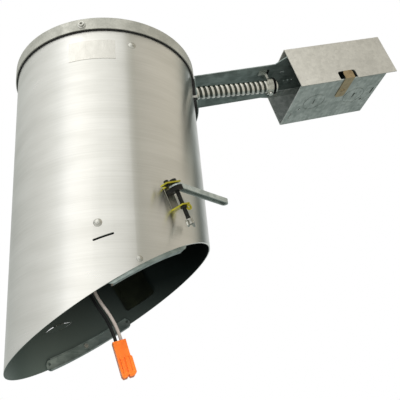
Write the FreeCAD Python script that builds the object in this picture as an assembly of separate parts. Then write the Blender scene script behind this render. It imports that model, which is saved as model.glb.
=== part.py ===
# Recessed light housing for a sloped ceiling: a slant-cut can with a capped top, a bent arm that
# carries a folded junction box on a ridged conduit, two swing-out clamps and two lead wires.
# Millimetres. The origin is where the can's axis meets the ceiling plane; +Z runs up the can and
# +X points uphill, along the arm.
import FreeCAD, Part
import math
import os

V = FreeCAD.Vector

# The can, cut off on a slant to suit the ceiling
CAN_R = 82.5
CAN_WALL = 0.9
CAN_TOP = 233.4
SLOPE_DEG = 30.0
SLOPE = math.tan(math.radians(SLOPE_DEG))
CAN_IN = CAN_R - CAN_WALL
FIT = 0.05
SEAT = 0.3
OVERCUT = 1.0

# The cap over the can's top, and the black gasket under its skirt
CAP_SHEET = 1.0
CAP_SKIRT = 13.0
CAP_GAP = 1.1
CAP_EDGE_R = 2.0
GASKET_SHOW = 0.9
GASKET_HEIGHT = 4.0
GASKET_FREE = 0.1
CAP_SCREW_COUNT = 3
CAP_SCREW_AZ = -108.4
CAP_SCREW_STEP = -95.0
CAP_SCREW_DOWN = 8.0
CAP_SCREW_R = 3.3
CAP_SCREW_HEX = 2.4
CAP_SCREW_FLANGE = 0.5
CAP_SCREW_NECK = 0.8
CAP_SCREW_H = 2.4
CAP_SCREW_RECESS_R = 1.3
CAP_SCREW_RECESS = 1.2

# Rivets in the can
RIVET_HEAD_R = 3.3
RIVET_HEAD_H = 1.4
RIVET_SHANK_R = 1.6
RIVET_TAIL_R = 2.5
RIVET_TAIL_H = 0.8
RIVET_TOP_AZ = -79.4
RIVET_TOP_Z = 206.9
RIVET_MID_AZ = -101.6
RIVET_MID_Z = 40.1

# Slots and the window in the can's wall
FRONT_SLOT_AZ = -99.0
FRONT_SLOT_Z = 28.9
FRONT_SLOT_LENGTH = 16.0
FRONT_SLOT_WIDTH = 1.7
FRONT_SLOT_TILT = 17.0
LENS_SLOT_AZ = 122.0
LENS_SLOT_Z = 8.5
LENS_SLOT_LENGTH = 30.0
LENS_SLOT_WIDTH = 5.0
LENS_SLOT_TILT = -26.0
WINDOW_AZ = 71.5
WINDOW_Z = 45.5
WINDOW_SIDE = 24.0
WINDOW_TILT = -27.0
WINDOW_RIM = 3.5
WINDOW_CORNER_R = 2.5
WINDOW_SHEET = 0.8
WINDOW_DISH = 1.2
WINDOW_SPAN = 30.0

# Foil patch on the can's front
FOIL_AZ_START = -117.0
FOIL_AZ_END = -89.5
FOIL_LOW = 190.5
FOIL_HIGH = 210.2
FOIL_SHEET = 0.2

# Stiffening rails inside the slanted rim, as heights measured straight up from the rim
RAIL_SHEET = 0.8
RAIL_DROP = 2.6
RAIL_HEIGHT = 11.0
RAIL_DEPTH = 4.8
RAIL_LIP = 2.0
RAIL_HOLE_R = 1.3
RAIL_HOLE_IN_DEG = 2.3
FAR_RAIL_START = 74.5
FAR_RAIL_END = 131.0
NEAR_RAIL_START = -98.9
NEAR_RAIL_END = -52.0
FAR_RAIL_RIVET_AZ = 103.5
NEAR_RAIL_RIVET_AZ = -81.5
RAIL_RIVET_UP = 4.6
RAIL_RIVET_TAIL_R = 2.0

# The arm frame starts at the box's lower left edge, over the middle of its depth
ARM_TILT = 13.7
ARM_X = 185.8
ARM_Z = 211.0
BOX_LENGTH = 101.6
BOX_DEPTH = 67.2
BOX_HEIGHT = 38.1
BOX_SHEET = 1.0
BOX_BEND_R = 1.6
BOX_FLANGE = 11.0

# The arm: a plate from the saddle on the can out over the box
ARM_NEAR = 24.0
ARM_FAR = 31.0
ARM_FLARE = 10.0
ARM_LAP = 7.7
SADDLE_SHEET = 1.1
SADDLE_LOW = 190.0
SADDLE_SPAN = 45.0
SADDLE_CORNER_R = 6.0
PAD_BORDER = 1.5
PAD_SHEET = 2.1
ARM_SLOT_LENGTH = 5.5
ARM_SLOT_WIDTH = 1.5
ARM_SLOT_C = -10.0
ARM_SLOT_ONE = -22.5
ARM_SLOT_TWO = 2.5
ARM_HOLE_R = 0.9
ARM_HOLE_C = 5.6
ARM_HOLE_ONE = 9.7
ARM_HOLE_STEP = 4.8
ARM_HOLE_COUNT = 3
SADDLE_RIVET_AZ = 14.5
SADDLE_RIVET_Z = 199.0

# Knockouts, pry slots and nail holes in the box
KNOCKOUT_R = 12.4
KNOCKOUT_GROOVE = 0.9
KNOCKOUT_CUT = 0.45
KNOCKOUT_A = 26.8
KNOCKOUT_C = -2.0
PRY_LENGTH = 8.5
PRY_WIDTH = 1.8
BOX_HOLE_R = 1.5
BOX_HOLE_IN = 13.5
BOX_HOLE_C = 7.6
END_SLOT_LENGTH = 10.5
END_SLOT_IN = 5.5
END_SLOT_LEFT_C = 17.7
END_SLOT_RIGHT_C = -5.6

# The hinged cover over the box's open side
COVER_LENGTH = 112.3
COVER_SHEET = 0.8
COVER_FREE = 0.4
COVER_DROP = 0.6
COVER_RISE = 8.3
COVER_FLANGE = 18.5
COVER_BEND_R = 1.5
HEM_R = 1.9
PIN_R = 1.0
PIN_FREE = 0.06
PIN_INSET = 3.0
LUG_SHEET = 1.2
LUG_HALF = 2.8
LUG_OVER = 1.5
LUG_INSET = 16.0
LUG_SIDE_FREE = 0.5
LUG_BACK_FREE = 0.9
NOTCH_START = 45.0
NOTCH_WIDTH = 20.6
NOTCH_HEIGHT = 10.2
NOTCH_R = 2.5

# The spring latch under the box
LATCH_SHEET = 0.6
LATCH_WIDTH = 11.0
LATCH_MID = 55.3
LATCH_HEEL = -5.0
LATCH_PROUD = 1.6
LATCH_RISE = 8.6
LATCH_FREE = 0.2
LATCH_RIVET_C = -15.4
LATCH_RIVET_R = 1.5
LATCH_RIVET_HEAD_R = 2.7
LATCH_RIVET_HEAD_H = 1.1
LATCH_HOLE_FREE = 0.8

# Grounding screw in the box
GROUND_FLANGE_R = 3.4
GROUND_FLANGE_H = 0.6
GROUND_HEX_R = 2.8
GROUND_HEX_H = 2.6

# Ridged conduit from the can to the box
CONDUIT_TILT = 9.4
CONDUIT_X = 70.0
CONDUIT_Y = -14.0
CONDUIT_Z = 209.8
CONDUIT_LENGTH = 99.0
CONDUIT_R = 6.4
CONDUIT_GROOVE_R = 5.5
CONDUIT_BORE_R = 4.6
CONDUIT_PITCH = 5.2
RIDGE_START = 0.28
RIDGE_END = 0.72
CONDUIT_HOLE_FREE = 0.5
NUT_R = 9.4
NUT_CHAMFER = 1.0
NUT_START = 1.0
NUT_LENGTH = 5.0
THROAT = 1.0
STRAP_R = 8.0
STRAP_IN = 10.5
STRAP_LENGTH = 8.0
STRAP_FREE = 0.1
STRAP_WALL_IN = 0.9
STRAP_LIP = 0.6
STRAP_LIP_LENGTH = 2.0
STRAP_NECK_WIDTH = 6.0
STRAP_NECK_SHEET = 2.4
STRAP_FOOT = 11.0
STRAP_SCREW_R = 1.4
STRAP_SCREW_HEAD_R = 2.2
STRAP_SCREW_HEAD_H = 1.8

# The two clamps that grip the ceiling board
CLAMP_AZ = -59.7
CLAMP_Z = 59.5
CLAMP_OFF = 9.0
CLAMP_TILT = 23.4
CLAMP_DROP = CAN_R * SLOPE * math.cos(math.radians(CLAMP_AZ)) * 2.0
SCREW_R = 1.75
SCREW_DOWN = 19.5
SCREW_HEAD_R = 2.9
SCREW_HEAD_H = 2.2
HEAD_CHAMFER = 0.5
COLLAR_R = 2.7
COLLAR_H = 1.4
RUN_FREE = 0.08
GUIDE_SHEET = 1.2
GUIDE_WIDTH = 8.0
GUIDE_TOP = 14.0
GUIDE_LOW = -4.4
GUIDE_OUT = 3.6
GUIDE_BACK_SHEET = 1.0
GUIDE_BACK_FREE = 0.1
GUIDE_EAR = 7.4
EYE_R = 2.5
EYE_BORE_R = 1.3
EYE_SHEET = 1.4
EYE_DOWN = 1.6
STUD_R = 1.5
STUD_KNOB_R = 2.0
STUD_KNOB_H = 2.4
STUD_TAIL_H = 0.8
STUD_CHAMFER = 0.6
CARRIER_LOW = 7.9
CARRIER_BLOCK_H = 3.6
CARRIER_WIDTH = 7.2
CARRIER_NECK_R = 2.9
CARRIER_RIM_R = 3.6
CARRIER_RIM_H = 0.8
CARRIER_FREE = 0.3
SWING_SHEET = 1.2
SWING_RING_R = 5.0
SWING_LENGTH = 50.0
SWING_WIDTH = 6.0
SWING_DEPTH = 4.0
SWING_WALL = 0.9
SWING_START = 6.5
SWING_PLAY = 0.1
WING_HUB_R = 2.9
WING_HUB_H = 4.2
WING_HUB_FLARE = 0.5
WING_SPAN = 8.2
WING_SHEET = 1.3
WING_TIP = 1.5
WING_DIP = 2.2
WING_TIP_DROP = 1.0
WING_TIP_RISE = 2.0
WING_ROOT_IN = 0.6
WING_ROOT_STEP = 0.4
WING_SWEEP = 25.0

# Lead wires and the plug-in connector at their end
WIRE_R = 1.35
WIRE_SIDE = 1.6
WIRE_LEAD = 18.0
PLUG_TILT = 14.1
PLUG_X = 1.75
PLUG_Y = -14.0
PLUG_Z = -28.7
PLUG_WIDTH = 10.4
PLUG_LENGTH = 28.4
PLUG_DEPTH = 7.0
PLUG_WIRE_SIDE = 2.1
PLUG_STEP = 1.1
PLUG_STEP_DOWN = 13.0
PLUG_GROOVES = 3
PLUG_GROOVE_UP = 3.4
PLUG_GROOVE_LENGTH = 11.5
PLUG_GROOVE_WIDTH = 0.9
PLUG_GROOVE_CUT = 0.9
PLUG_NOTCH = 2.0
PLUG_TAIL = 15.0
ARC_SHARE = 0.45

# Radii and heights that follow from the sizes above
CAP_IN = CAN_R + CAP_GAP
CAP_OUT = CAP_IN + CAP_SHEET
CAP_TOP = CAN_TOP + CAP_SHEET
SKIRT_LOW = CAP_TOP - CAP_SKIRT
CAP_SCREW_Z = CAP_TOP - CAP_SCREW_DOWN
PAD_IN = CAN_R + SEAT
SADDLE_IN = PAD_IN + PAD_SHEET + FIT
SADDLE_OUT = SADDLE_IN + SADDLE_SHEET
ARM_REACH = (ARM_X - CAN_R) / math.cos(math.radians(ARM_TILT)) + ARM_LAP
STRAP_START = CONDUIT_LENGTH - STRAP_IN


def block(low, high):
    # A box between two opposite corners
    size = high.sub(low)
    return Part.makeBox(size.x, size.y, size.z, low)


def ring(outer, inner, low, high):
    # A plain tube about the can's axis
    tube = Part.makeCylinder(outer, high - low, V(0, 0, low))
    return tube.cut(Part.makeCylinder(inner, high - low, V(0, 0, low)))


def band(outer, inner, low, high, start, end):
    # A piece of such a tube between two azimuths in degrees
    out = Part.makeCylinder(outer, high - low, V(0, 0, low), V(0, 0, 1), end - start)
    core = Part.makeCylinder(inner, high - low, V(0, 0, low), V(0, 0, 1), end - start)
    piece = out.cut(core)
    piece.rotate(V(0, 0, 0), V(0, 0, 1), start)
    return piece


def turned(points):
    # A body turned about Z from a closed outline of (radius, height) pairs
    outline = Part.makePolygon([V(r, 0, z) for r, z in points] + [V(points[0][0], 0, points[0][1])])
    return Part.Face(outline).revolve(V(0, 0, 0), V(0, 0, 1), 360)


def prism(points, thickness, lift=0.0):
    # A straight body on a closed outline of (x, y) pairs
    outline = Part.makePolygon([V(x, y, lift) for x, y in points] + [V(points[0][0], points[0][1], lift)])
    return Part.Face(outline).extrude(V(0, 0, thickness))


def stadium(length, width, low, high):
    # A slot's solid along X with round ends, between two heights
    half = (length - width) / 2
    body = block(V(-half, -width / 2, low), V(half, width / 2, high))
    for side in (-1, 1):
        body = body.fuse(Part.makeCylinder(width / 2, high - low, V(side * half, 0, low)))
    return body.removeSplitter()


def slab(low, high):
    # The space between two heights above the slanted ceiling plane
    reach = CAN_R + CAP_SKIRT
    fall = reach * SLOPE
    corners = [(-reach, low - fall), (reach, low + fall), (reach, high + fall), (-reach, high - fall)]
    outline = Part.makePolygon([V(x, -reach, z) for x, z in corners + corners[:1]])
    return Part.Face(outline).extrude(V(0, 2 * reach, 0))


def on_wall(shape, azimuth, height, radius, tilt=0.0):
    # Local X goes round the can, Y up and Z outwards, turned by the tilt about Z
    turn = math.radians(azimuth)
    out = V(math.cos(turn), math.sin(turn), 0)
    side = V(-math.sin(turn), math.cos(turn), 0)
    spot = out * radius
    matrix = FreeCAD.Matrix(side.x, 0, out.x, spot.x, side.y, 0, out.y, spot.y, 0, 1, 0, height, 0, 0, 0, 1)
    placed = shape.copy()
    placed.rotate(V(0, 0, 0), V(0, 0, 1), tilt)
    placed.Placement = FreeCAD.Placement(matrix).multiply(placed.Placement)
    return placed


def on_arm(shape):
    # Local X runs out along the arm, Y back across the box and Z up square to the arm
    placed = shape.copy()
    seat = FreeCAD.Placement(V(ARM_X, 0, ARM_Z), FreeCAD.Rotation(V(0, 1, 0), -ARM_TILT))
    placed.Placement = seat.multiply(placed.Placement)
    return placed


def along_conduit(shape):
    # Local Z runs along the conduit from its end inside the can
    placed = shape.copy()
    turn = FreeCAD.Rotation(V(0, 1, 0), 90 - CONDUIT_TILT)
    placed.Placement = FreeCAD.Placement(V(CONDUIT_X, CONDUIT_Y, CONDUIT_Z), turn).multiply(placed.Placement)
    return placed


def rivet(head_r, head_h, shank_r, grip, tail_r, tail_h):
    # A dome-headed rivet along Z, its head above zero and its tail below the grip
    low = -grip - tail_h
    ball = (head_r ** 2 + head_h ** 2) / (2 * head_h)
    half = math.asin(head_r / ball) / 2
    shoulder = V(ball * math.sin(half), 0, head_h - ball + ball * math.cos(half))
    dome = Part.Arc(V(head_r, 0, 0), shoulder, V(0, 0, head_h)).toShape()
    corners = [V(0, 0, head_h), V(0, 0, low), V(tail_r, 0, low), V(tail_r, 0, -grip)]
    corners += [V(shank_r, 0, -grip), V(shank_r, 0, 0), V(head_r, 0, 0)]
    outline = Part.Wire(Part.makePolygon(corners).Edges + [dome])
    return Part.Face(outline).revolve(V(0, 0, 0), V(0, 0, 1), 360)


def can_rivet():
    return rivet(RIVET_HEAD_R, RIVET_HEAD_H, RIVET_SHANK_R, CAN_WALL + 2 * FIT, RIVET_TAIL_R, RIVET_TAIL_H)


def wall_hole(radius, azimuth, height):
    # A drill along the radius, through any wall of the can
    drill = Part.makeCylinder(radius, CAN_R, V(0, 0, -CAN_R / 2))
    return on_wall(drill, azimuth, height, CAN_R)


def can_rivet_places():
    return [(RIVET_TOP_AZ, RIVET_TOP_Z), (RIVET_MID_AZ, RIVET_MID_Z)]


def cap_screw_azimuths():
    # Spread round the side away from the arm, so that none comes under its saddle
    return [CAP_SCREW_AZ + CAP_SCREW_STEP * index for index in range(CAP_SCREW_COUNT)]


def rim_height(azimuth, radius):
    return radius * math.cos(math.radians(azimuth)) * SLOPE


def can_body():
    tube = ring(CAN_R, CAN_IN, -CAN_R, CAN_TOP).common(slab(0, 2 * CAN_TOP))
    for azimuth, height in can_rivet_places():
        tube = tube.cut(wall_hole(RIVET_SHANK_R + FIT, azimuth, height))
    for azimuth in cap_screw_azimuths():
        tube = tube.cut(wall_hole(RIVET_SHANK_R + FIT, azimuth, CAP_SCREW_Z))
    for azimuth in (FAR_RAIL_RIVET_AZ, NEAR_RAIL_RIVET_AZ):
        tube = tube.cut(wall_hole(RIVET_SHANK_R + FIT, azimuth, rail_rivet_height(azimuth)))
    for azimuth in saddle_rivet_azimuths():
        tube = tube.cut(wall_hole(RIVET_SHANK_R + FIT, azimuth, SADDLE_RIVET_Z))
    front = stadium(FRONT_SLOT_LENGTH, FRONT_SLOT_WIDTH, -CAN_WALL * 4, CAN_WALL * 4)
    tube = tube.cut(on_wall(front, FRONT_SLOT_AZ, FRONT_SLOT_Z, CAN_R, FRONT_SLOT_TILT))
    lens = lens_outline(LENS_SLOT_LENGTH, LENS_SLOT_WIDTH)
    tube = tube.cut(on_wall(lens, LENS_SLOT_AZ, LENS_SLOT_Z, CAN_R, LENS_SLOT_TILT))
    window = rounded_square(WINDOW_SIDE, WINDOW_CORNER_R, -CAN_WALL * 6, CAN_WALL * 6)
    tube = tube.cut(on_wall(window, WINDOW_AZ, WINDOW_Z, CAN_R, WINDOW_TILT))
    return tube.cut(conduit_hole())


def lens_outline(length, width):
    # Two shallow arcs that meet in points, as a slot's solid
    reach = CAN_WALL * 8
    over = Part.Arc(V(-length / 2, 0, -reach), V(0, width / 2, -reach), V(length / 2, 0, -reach)).toShape()
    under = Part.Arc(V(length / 2, 0, -reach), V(0, -width / 2, -reach), V(-length / 2, 0, -reach)).toShape()
    return Part.Face(Part.Wire([over, under])).extrude(V(0, 0, 2 * reach))


def rounded_square(side, corner, low, high):
    body = block(V(-side / 2, -side / 2, low), V(side / 2, side / 2, high))
    upright = [edge for edge in body.Edges if abs(edge.tangentAt(edge.FirstParameter).z) > 0.9]
    return body.makeFillet(corner, upright)


def conduit_hole():
    drill = Part.makeCylinder(CONDUIT_R + CONDUIT_HOLE_FREE, CONDUIT_LENGTH / 4, V(0, 0, NUT_LENGTH))
    return along_conduit(drill)


def saddle_rivet_azimuths():
    return (-SADDLE_RIVET_AZ * ARM_NEAR / ARM_FAR - SADDLE_CORNER_R, SADDLE_RIVET_AZ)


def top_cap():
    # Turned disc with a rounded edge and a skirt down over the can's top
    turn = math.sqrt(0.5)
    edge_c = V(CAP_OUT - CAP_EDGE_R, 0, CAP_TOP - CAP_EDGE_R)
    outer = Part.Arc(edge_c + V(CAP_EDGE_R, 0, 0), edge_c + V(CAP_EDGE_R * turn, 0, CAP_EDGE_R * turn),
                     edge_c + V(0, 0, CAP_EDGE_R)).toShape()
    inside = Part.makePolygon([edge_c + V(0, 0, CAP_EDGE_R), V(0, 0, CAP_TOP), V(0, 0, CAN_TOP),
                               V(CAP_IN, 0, CAN_TOP), V(CAP_IN, 0, SKIRT_LOW), V(CAP_OUT, 0, SKIRT_LOW),
                               edge_c + V(CAP_EDGE_R, 0, 0)])
    outline = Part.Wire(inside.Edges + [outer])
    cap = Part.Face(outline).revolve(V(0, 0, 0), V(0, 0, 1), 360)
    for azimuth in cap_screw_azimuths():
        cap = cap.cut(wall_hole(RIVET_SHANK_R + FIT, azimuth, CAP_SCREW_Z))
    return cap


def cap_gasket():
    low = SKIRT_LOW - GASKET_SHOW
    return ring(CAP_IN - GASKET_FREE, CAN_R + GASKET_FREE, low, low + GASKET_HEIGHT)


def cap_screws():
    # Hex washer-head screws with a recess, run in through the skirt
    grip = CAP_OUT - CAN_IN + 2 * FIT
    head = turned([(0, 0), (CAP_SCREW_R, 0), (CAP_SCREW_R, CAP_SCREW_FLANGE), (CAP_SCREW_HEX, CAP_SCREW_NECK),
                   (CAP_SCREW_HEX, CAP_SCREW_H), (0, CAP_SCREW_H)])
    shank = Part.makeCylinder(RIVET_SHANK_R, grip + CAP_SCREW_R, V(0, 0, -grip - CAP_SCREW_R))
    recess = Part.makeCylinder(CAP_SCREW_RECESS_R, CAP_SCREW_H, V(0, 0, CAP_SCREW_H - CAP_SCREW_RECESS))
    screw = head.fuse(shank).cut(recess)
    return [on_wall(screw, azimuth, CAP_SCREW_Z, CAP_OUT + FIT) for azimuth in cap_screw_azimuths()]


def can_rivets():
    return [on_wall(can_rivet(), azimuth, height, CAN_R + FIT) for azimuth, height in can_rivet_places()]


def foil_patch():
    inner = CAN_R + FIT
    return band(inner + FOIL_SHEET, inner, FOIL_LOW, FOIL_HIGH, FOIL_AZ_START, FOIL_AZ_END)


def access_plate():
    # A dished square that covers the window from inside, with a raised rim round it
    side = WINDOW_SIDE + 2 * WINDOW_RIM
    reach = WINDOW_SIDE / 2
    start = WINDOW_AZ - WINDOW_SPAN
    end = WINDOW_AZ + WINDOW_SPAN
    shell = band(CAN_IN - FIT, CAN_IN - FIT - WINDOW_SHEET, 0, 2 * WINDOW_Z, start, end)
    plate = shell.common(on_wall(rounded_square(side, WINDOW_CORNER_R, -reach, reach),
                                 WINDOW_AZ, WINDOW_Z, CAN_IN, WINDOW_TILT))
    inner = CAN_IN - FIT - WINDOW_SHEET
    lip = band(inner, inner - WINDOW_DISH, 0, 2 * WINDOW_Z, start, end)
    frame = rounded_square(side, WINDOW_CORNER_R, -reach, reach)
    frame = frame.cut(rounded_square(side - 2 * WINDOW_RIM, WINDOW_CORNER_R, -reach, reach))
    return plate.fuse(lip.common(on_wall(frame, WINDOW_AZ, WINDOW_Z, CAN_IN, WINDOW_TILT))).removeSplitter()


def rail_rivet_height(azimuth):
    return rim_height(azimuth, CAN_IN) + RAIL_RIVET_UP


def trim_rail(start, end, rivet_azimuth):
    # A channel of bent sheet along the inside of the rim, with round ends
    outer = CAN_IN - FIT
    low = -CAN_R
    high = CAN_R
    top = RAIL_HEIGHT - RAIL_DROP
    web = band(outer, outer - RAIL_SHEET, low, high, start, end).common(slab(-RAIL_DROP, top))
    floor = band(outer, outer - RAIL_DEPTH, low, high, start, end)
    floor = floor.common(slab(-RAIL_DROP, -RAIL_DROP + RAIL_SHEET))
    lip = band(outer, outer - RAIL_LIP, low, high, start, end).common(slab(top - RAIL_SHEET, top))
    rail = web.fuse([floor, lip]).removeSplitter()
    for azimuth, side in ((start, -1), (end, 1)):
        rail = rail.cut(end_rounder(azimuth, side))
    for azimuth in (start + RAIL_HOLE_IN_DEG, end - RAIL_HOLE_IN_DEG):
        middle = rim_height(azimuth, outer) + top / 2
        rail = rail.cut(wall_hole(RAIL_HOLE_R, azimuth, middle))
    return rail.cut(wall_hole(RIVET_SHANK_R + FIT, rivet_azimuth, rail_rivet_height(rivet_azimuth)))


def end_rounder(azimuth, side):
    # What is taken off a rail's end to leave it round
    half = RAIL_HEIGHT / 2 * math.cos(math.radians(SLOPE_DEG * 0.8))
    inner = azimuth - side * math.degrees(half / CAN_IN)
    middle = rim_height(inner, CAN_IN) + RAIL_HEIGHT / 2 - RAIL_DROP
    reach = 2 * RAIL_DEPTH
    square = block(V(0, -3 * half, -reach), V(3 * half, 3 * half, reach))
    if side < 0:
        square = block(V(-3 * half, -3 * half, -reach), V(0, 3 * half, reach))
    tilt = math.degrees(math.atan(-math.sin(math.radians(inner)) * SLOPE))
    corner = square.cut(Part.makeCylinder(half, 2 * reach, V(0, 0, -reach)))
    return on_wall(corner, inner, middle, CAN_IN, tilt)


def rail_rivets():
    grip = CAN_WALL + RAIL_SHEET + 3 * FIT
    body = rivet(RIVET_TAIL_R, RIVET_HEAD_H, RIVET_SHANK_R, grip, RAIL_RIVET_TAIL_R, RIVET_TAIL_H)
    places = (FAR_RAIL_RIVET_AZ, NEAR_RAIL_RIVET_AZ)
    return [on_wall(body, azimuth, rail_rivet_height(azimuth), CAN_R + FIT) for azimuth in places]


def arm_outline():
    # The arm's plate seen from above: narrow to the can, flared out to the full box
    half = BOX_DEPTH / 2
    return [(-ARM_REACH, -ARM_NEAR), (-ARM_FLARE, -ARM_NEAR), (0, -half), (BOX_LENGTH, -half),
            (BOX_LENGTH, half), (0, half), (-ARM_FLARE, ARM_FAR), (-ARM_REACH, ARM_FAR)]


def hinge_line():
    # Depth and height of the cover's hinge in the arm frame
    return -BOX_DEPTH / 2 + COVER_FLANGE - COVER_FREE - COVER_SHEET, BOX_HEIGHT + COVER_RISE - HEM_R


def lug_places():
    return (LUG_INSET, BOX_LENGTH - LUG_INSET)


def arm_bracket():
    # One folded sheet: a curved saddle on the can, a rising plate and two upturned hinge lugs
    plate = prism(arm_outline(), BOX_SHEET, BOX_HEIGHT - BOX_SHEET)
    depth, height = hinge_line()
    for place in lug_places():
        lug = block(V(place - LUG_SHEET / 2, depth - LUG_HALF, BOX_HEIGHT - BOX_SHEET / 2),
                    V(place + LUG_SHEET / 2, depth + LUG_HALF, height + LUG_OVER))
        plate = plate.fuse(lug)
        bore = Part.makeCylinder(PIN_R + FIT, 2 * LUG_SHEET, V(place - LUG_SHEET, depth, height), V(1, 0, 0))
        plate = plate.cut(bore)
    for place in (ARM_SLOT_ONE, ARM_SLOT_TWO):
        slot = stadium(ARM_SLOT_LENGTH, ARM_SLOT_WIDTH, 0, BOX_HEIGHT)
        slot.translate(V(place, ARM_SLOT_C, BOX_HEIGHT / 2))
        plate = plate.cut(slot)
    for index in range(ARM_HOLE_COUNT):
        place = ARM_HOLE_ONE + ARM_HOLE_STEP * index
        plate = plate.cut(Part.makeCylinder(ARM_HOLE_R, BOX_HEIGHT, V(place, ARM_HOLE_C, BOX_HEIGHT / 2)))
    for place, side in box_rivet_places():
        plate = plate.cut(Part.makeCylinder(RIVET_SHANK_R + FIT, BOX_HEIGHT, V(place, side, BOX_HEIGHT / 2)))
    world = on_arm(plate).cut(Part.makeCylinder(SADDLE_IN + SADDLE_SHEET / 2, 2 * CAN_TOP))
    saddle = saddle_band(SADDLE_OUT, SADDLE_IN, SADDLE_LOW, 0.0)
    under = on_arm(block(V(-2 * ARM_REACH, -BOX_DEPTH, -2 * CAN_TOP), V(0, BOX_DEPTH, BOX_HEIGHT)))
    bracket = world.fuse(saddle.common(under)).removeSplitter()
    for azimuth in saddle_rivet_azimuths():
        bracket = bracket.cut(wall_hole(RIVET_SHANK_R + FIT, azimuth, SADDLE_RIVET_Z))
    return bracket.cut(conduit_hole())


def saddle_band(outer, inner, low, border):
    # The saddle's curved blank as wide as the arm, with its lower corners rounded
    blank = band(outer, inner, low, CAN_TOP + CAP_SKIRT, -SADDLE_SPAN, SADDLE_SPAN)
    near = -ARM_NEAR - border
    far = ARM_FAR + border
    outline = block(V(0, near, low), V(2 * CAN_R, far, CAN_TOP + CAP_SKIRT))
    corners = [edge for edge in outline.Edges
               if abs(edge.tangentAt(edge.FirstParameter).x) > 0.9 and edge.CenterOfMass.z < low + OVERCUT]
    return blank.common(outline.makeFillet(SADDLE_CORNER_R, corners))


def saddle_pad():
    pad = saddle_band(PAD_IN + PAD_SHEET, PAD_IN, SADDLE_LOW - PAD_BORDER, PAD_BORDER)
    pad = pad.common(Part.makeCylinder(2 * CAN_R, SKIRT_LOW - GASKET_SHOW - SEAT))
    for azimuth in saddle_rivet_azimuths():
        pad = pad.cut(wall_hole(RIVET_SHANK_R + FIT, azimuth, SADDLE_RIVET_Z))
    return pad.cut(conduit_hole())


def saddle_rivets():
    grip = SADDLE_OUT - CAN_IN + 3 * FIT
    body = rivet(RIVET_TAIL_R, RIVET_HEAD_H, RIVET_SHANK_R, grip, RIVET_TAIL_R, RIVET_TAIL_H)
    return [on_wall(body, azimuth, SADDLE_RIVET_Z, SADDLE_OUT + FIT) for azimuth in saddle_rivet_azimuths()]


def knockout(pry_turn=90.0):
    # A round blank marked by a shallow groove, with a pry slot across it; Z points out of the sheet
    groove = Part.makeCylinder(KNOCKOUT_R, 2 * KNOCKOUT_CUT, V(0, 0, -KNOCKOUT_CUT))
    blank = Part.makeCylinder(KNOCKOUT_R - KNOCKOUT_GROOVE, 2 * KNOCKOUT_CUT, V(0, 0, -KNOCKOUT_CUT))
    pry = stadium(PRY_LENGTH, PRY_WIDTH, -3 * BOX_SHEET, 3 * BOX_SHEET)
    pry.rotate(V(0, 0, 0), V(0, 0, 1), pry_turn)
    return groove.cut(blank).fuse(pry)


def box_rivet_places():
    inset = BOX_FLANGE / 2 + BOX_SHEET
    back = BOX_DEPTH / 2 - inset
    return ((inset, back), (BOX_LENGTH - inset, back), (BOX_LENGTH - inset, -back))


def junction_box():
    # Floor, back and right end folded from one sheet, flanged under the arm's plate and riveted to it
    half = BOX_DEPTH / 2
    roof = BOX_HEIGHT - BOX_SHEET
    outer = block(V(0, -half, 0), V(BOX_LENGTH, half, roof))
    low_edges = [edge for edge in outer.Edges if edge.CenterOfMass.z < FIT]
    bends = [edge for edge in low_edges
             if edge.CenterOfMass.y > half - FIT or edge.CenterOfMass.x > BOX_LENGTH - FIT]
    outer = outer.makeFillet(BOX_BEND_R, bends)
    wall_x = BOX_LENGTH - BOX_SHEET
    wall_y = half - BOX_SHEET
    inner = block(V(-BOX_SHEET, -half - BOX_SHEET, BOX_SHEET), V(wall_x, wall_y, BOX_HEIGHT))
    flange_low = roof - BOX_SHEET
    back = block(V(BOX_SHEET, half - BOX_FLANGE, flange_low), V(wall_x, wall_y, roof))
    end = block(V(BOX_LENGTH - BOX_FLANGE, -wall_y, flange_low), V(wall_x, wall_y, roof))
    box = outer.cut(inner).fuse([back, end]).removeSplitter()
    for place in (KNOCKOUT_A, BOX_LENGTH - KNOCKOUT_A):
        under = knockout()
        under.translate(V(place, KNOCKOUT_C, 0))
        behind = knockout()
        behind.rotate(V(0, 0, 0), V(1, 0, 0), -90)
        behind.translate(V(place, half, BOX_HEIGHT / 2))
        box = box.cut(under).cut(behind)
    side = knockout(0.0)
    side.rotate(V(0, 0, 0), V(0, 1, 0), 90)
    side.translate(V(BOX_LENGTH, 0, BOX_HEIGHT / 2))
    box = box.cut(side)
    for place in (BOX_HOLE_IN, BOX_LENGTH - BOX_HOLE_IN):
        box = box.cut(Part.makeCylinder(BOX_HOLE_R, BOX_HEIGHT / 2, V(place, BOX_HOLE_C, -BOX_SHEET)))
    for place, side_c in ((END_SLOT_IN, END_SLOT_LEFT_C), (BOX_LENGTH - END_SLOT_IN, END_SLOT_RIGHT_C)):
        slot = stadium(END_SLOT_LENGTH, PRY_WIDTH, -3 * BOX_SHEET, 3 * BOX_SHEET)
        slot.rotate(V(0, 0, 0), V(0, 0, 1), 90)
        slot.translate(V(place, side_c, 0))
        box = box.cut(slot)
    for place, side_c in box_rivet_places():
        box = box.cut(Part.makeCylinder(RIVET_SHANK_R + FIT, BOX_HEIGHT, V(place, side_c, BOX_HEIGHT / 2)))
    hole = Part.makeCylinder(LATCH_RIVET_R + LATCH_HOLE_FREE, 4 * BOX_SHEET,
                             V(LATCH_MID, LATCH_RIVET_C, -BOX_SHEET))
    return on_arm(box.cut(hole))


def box_rivets():
    body = rivet(RIVET_TAIL_R, RIVET_HEAD_H, RIVET_SHANK_R, 2 * BOX_SHEET + FIT, RIVET_TAIL_R, RIVET_TAIL_H)
    placed = []
    for place, side in box_rivet_places():
        one = body.copy()
        one.translate(V(place, side, BOX_HEIGHT + FIT / 2))
        placed.append(on_arm(one))
    return placed


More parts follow.
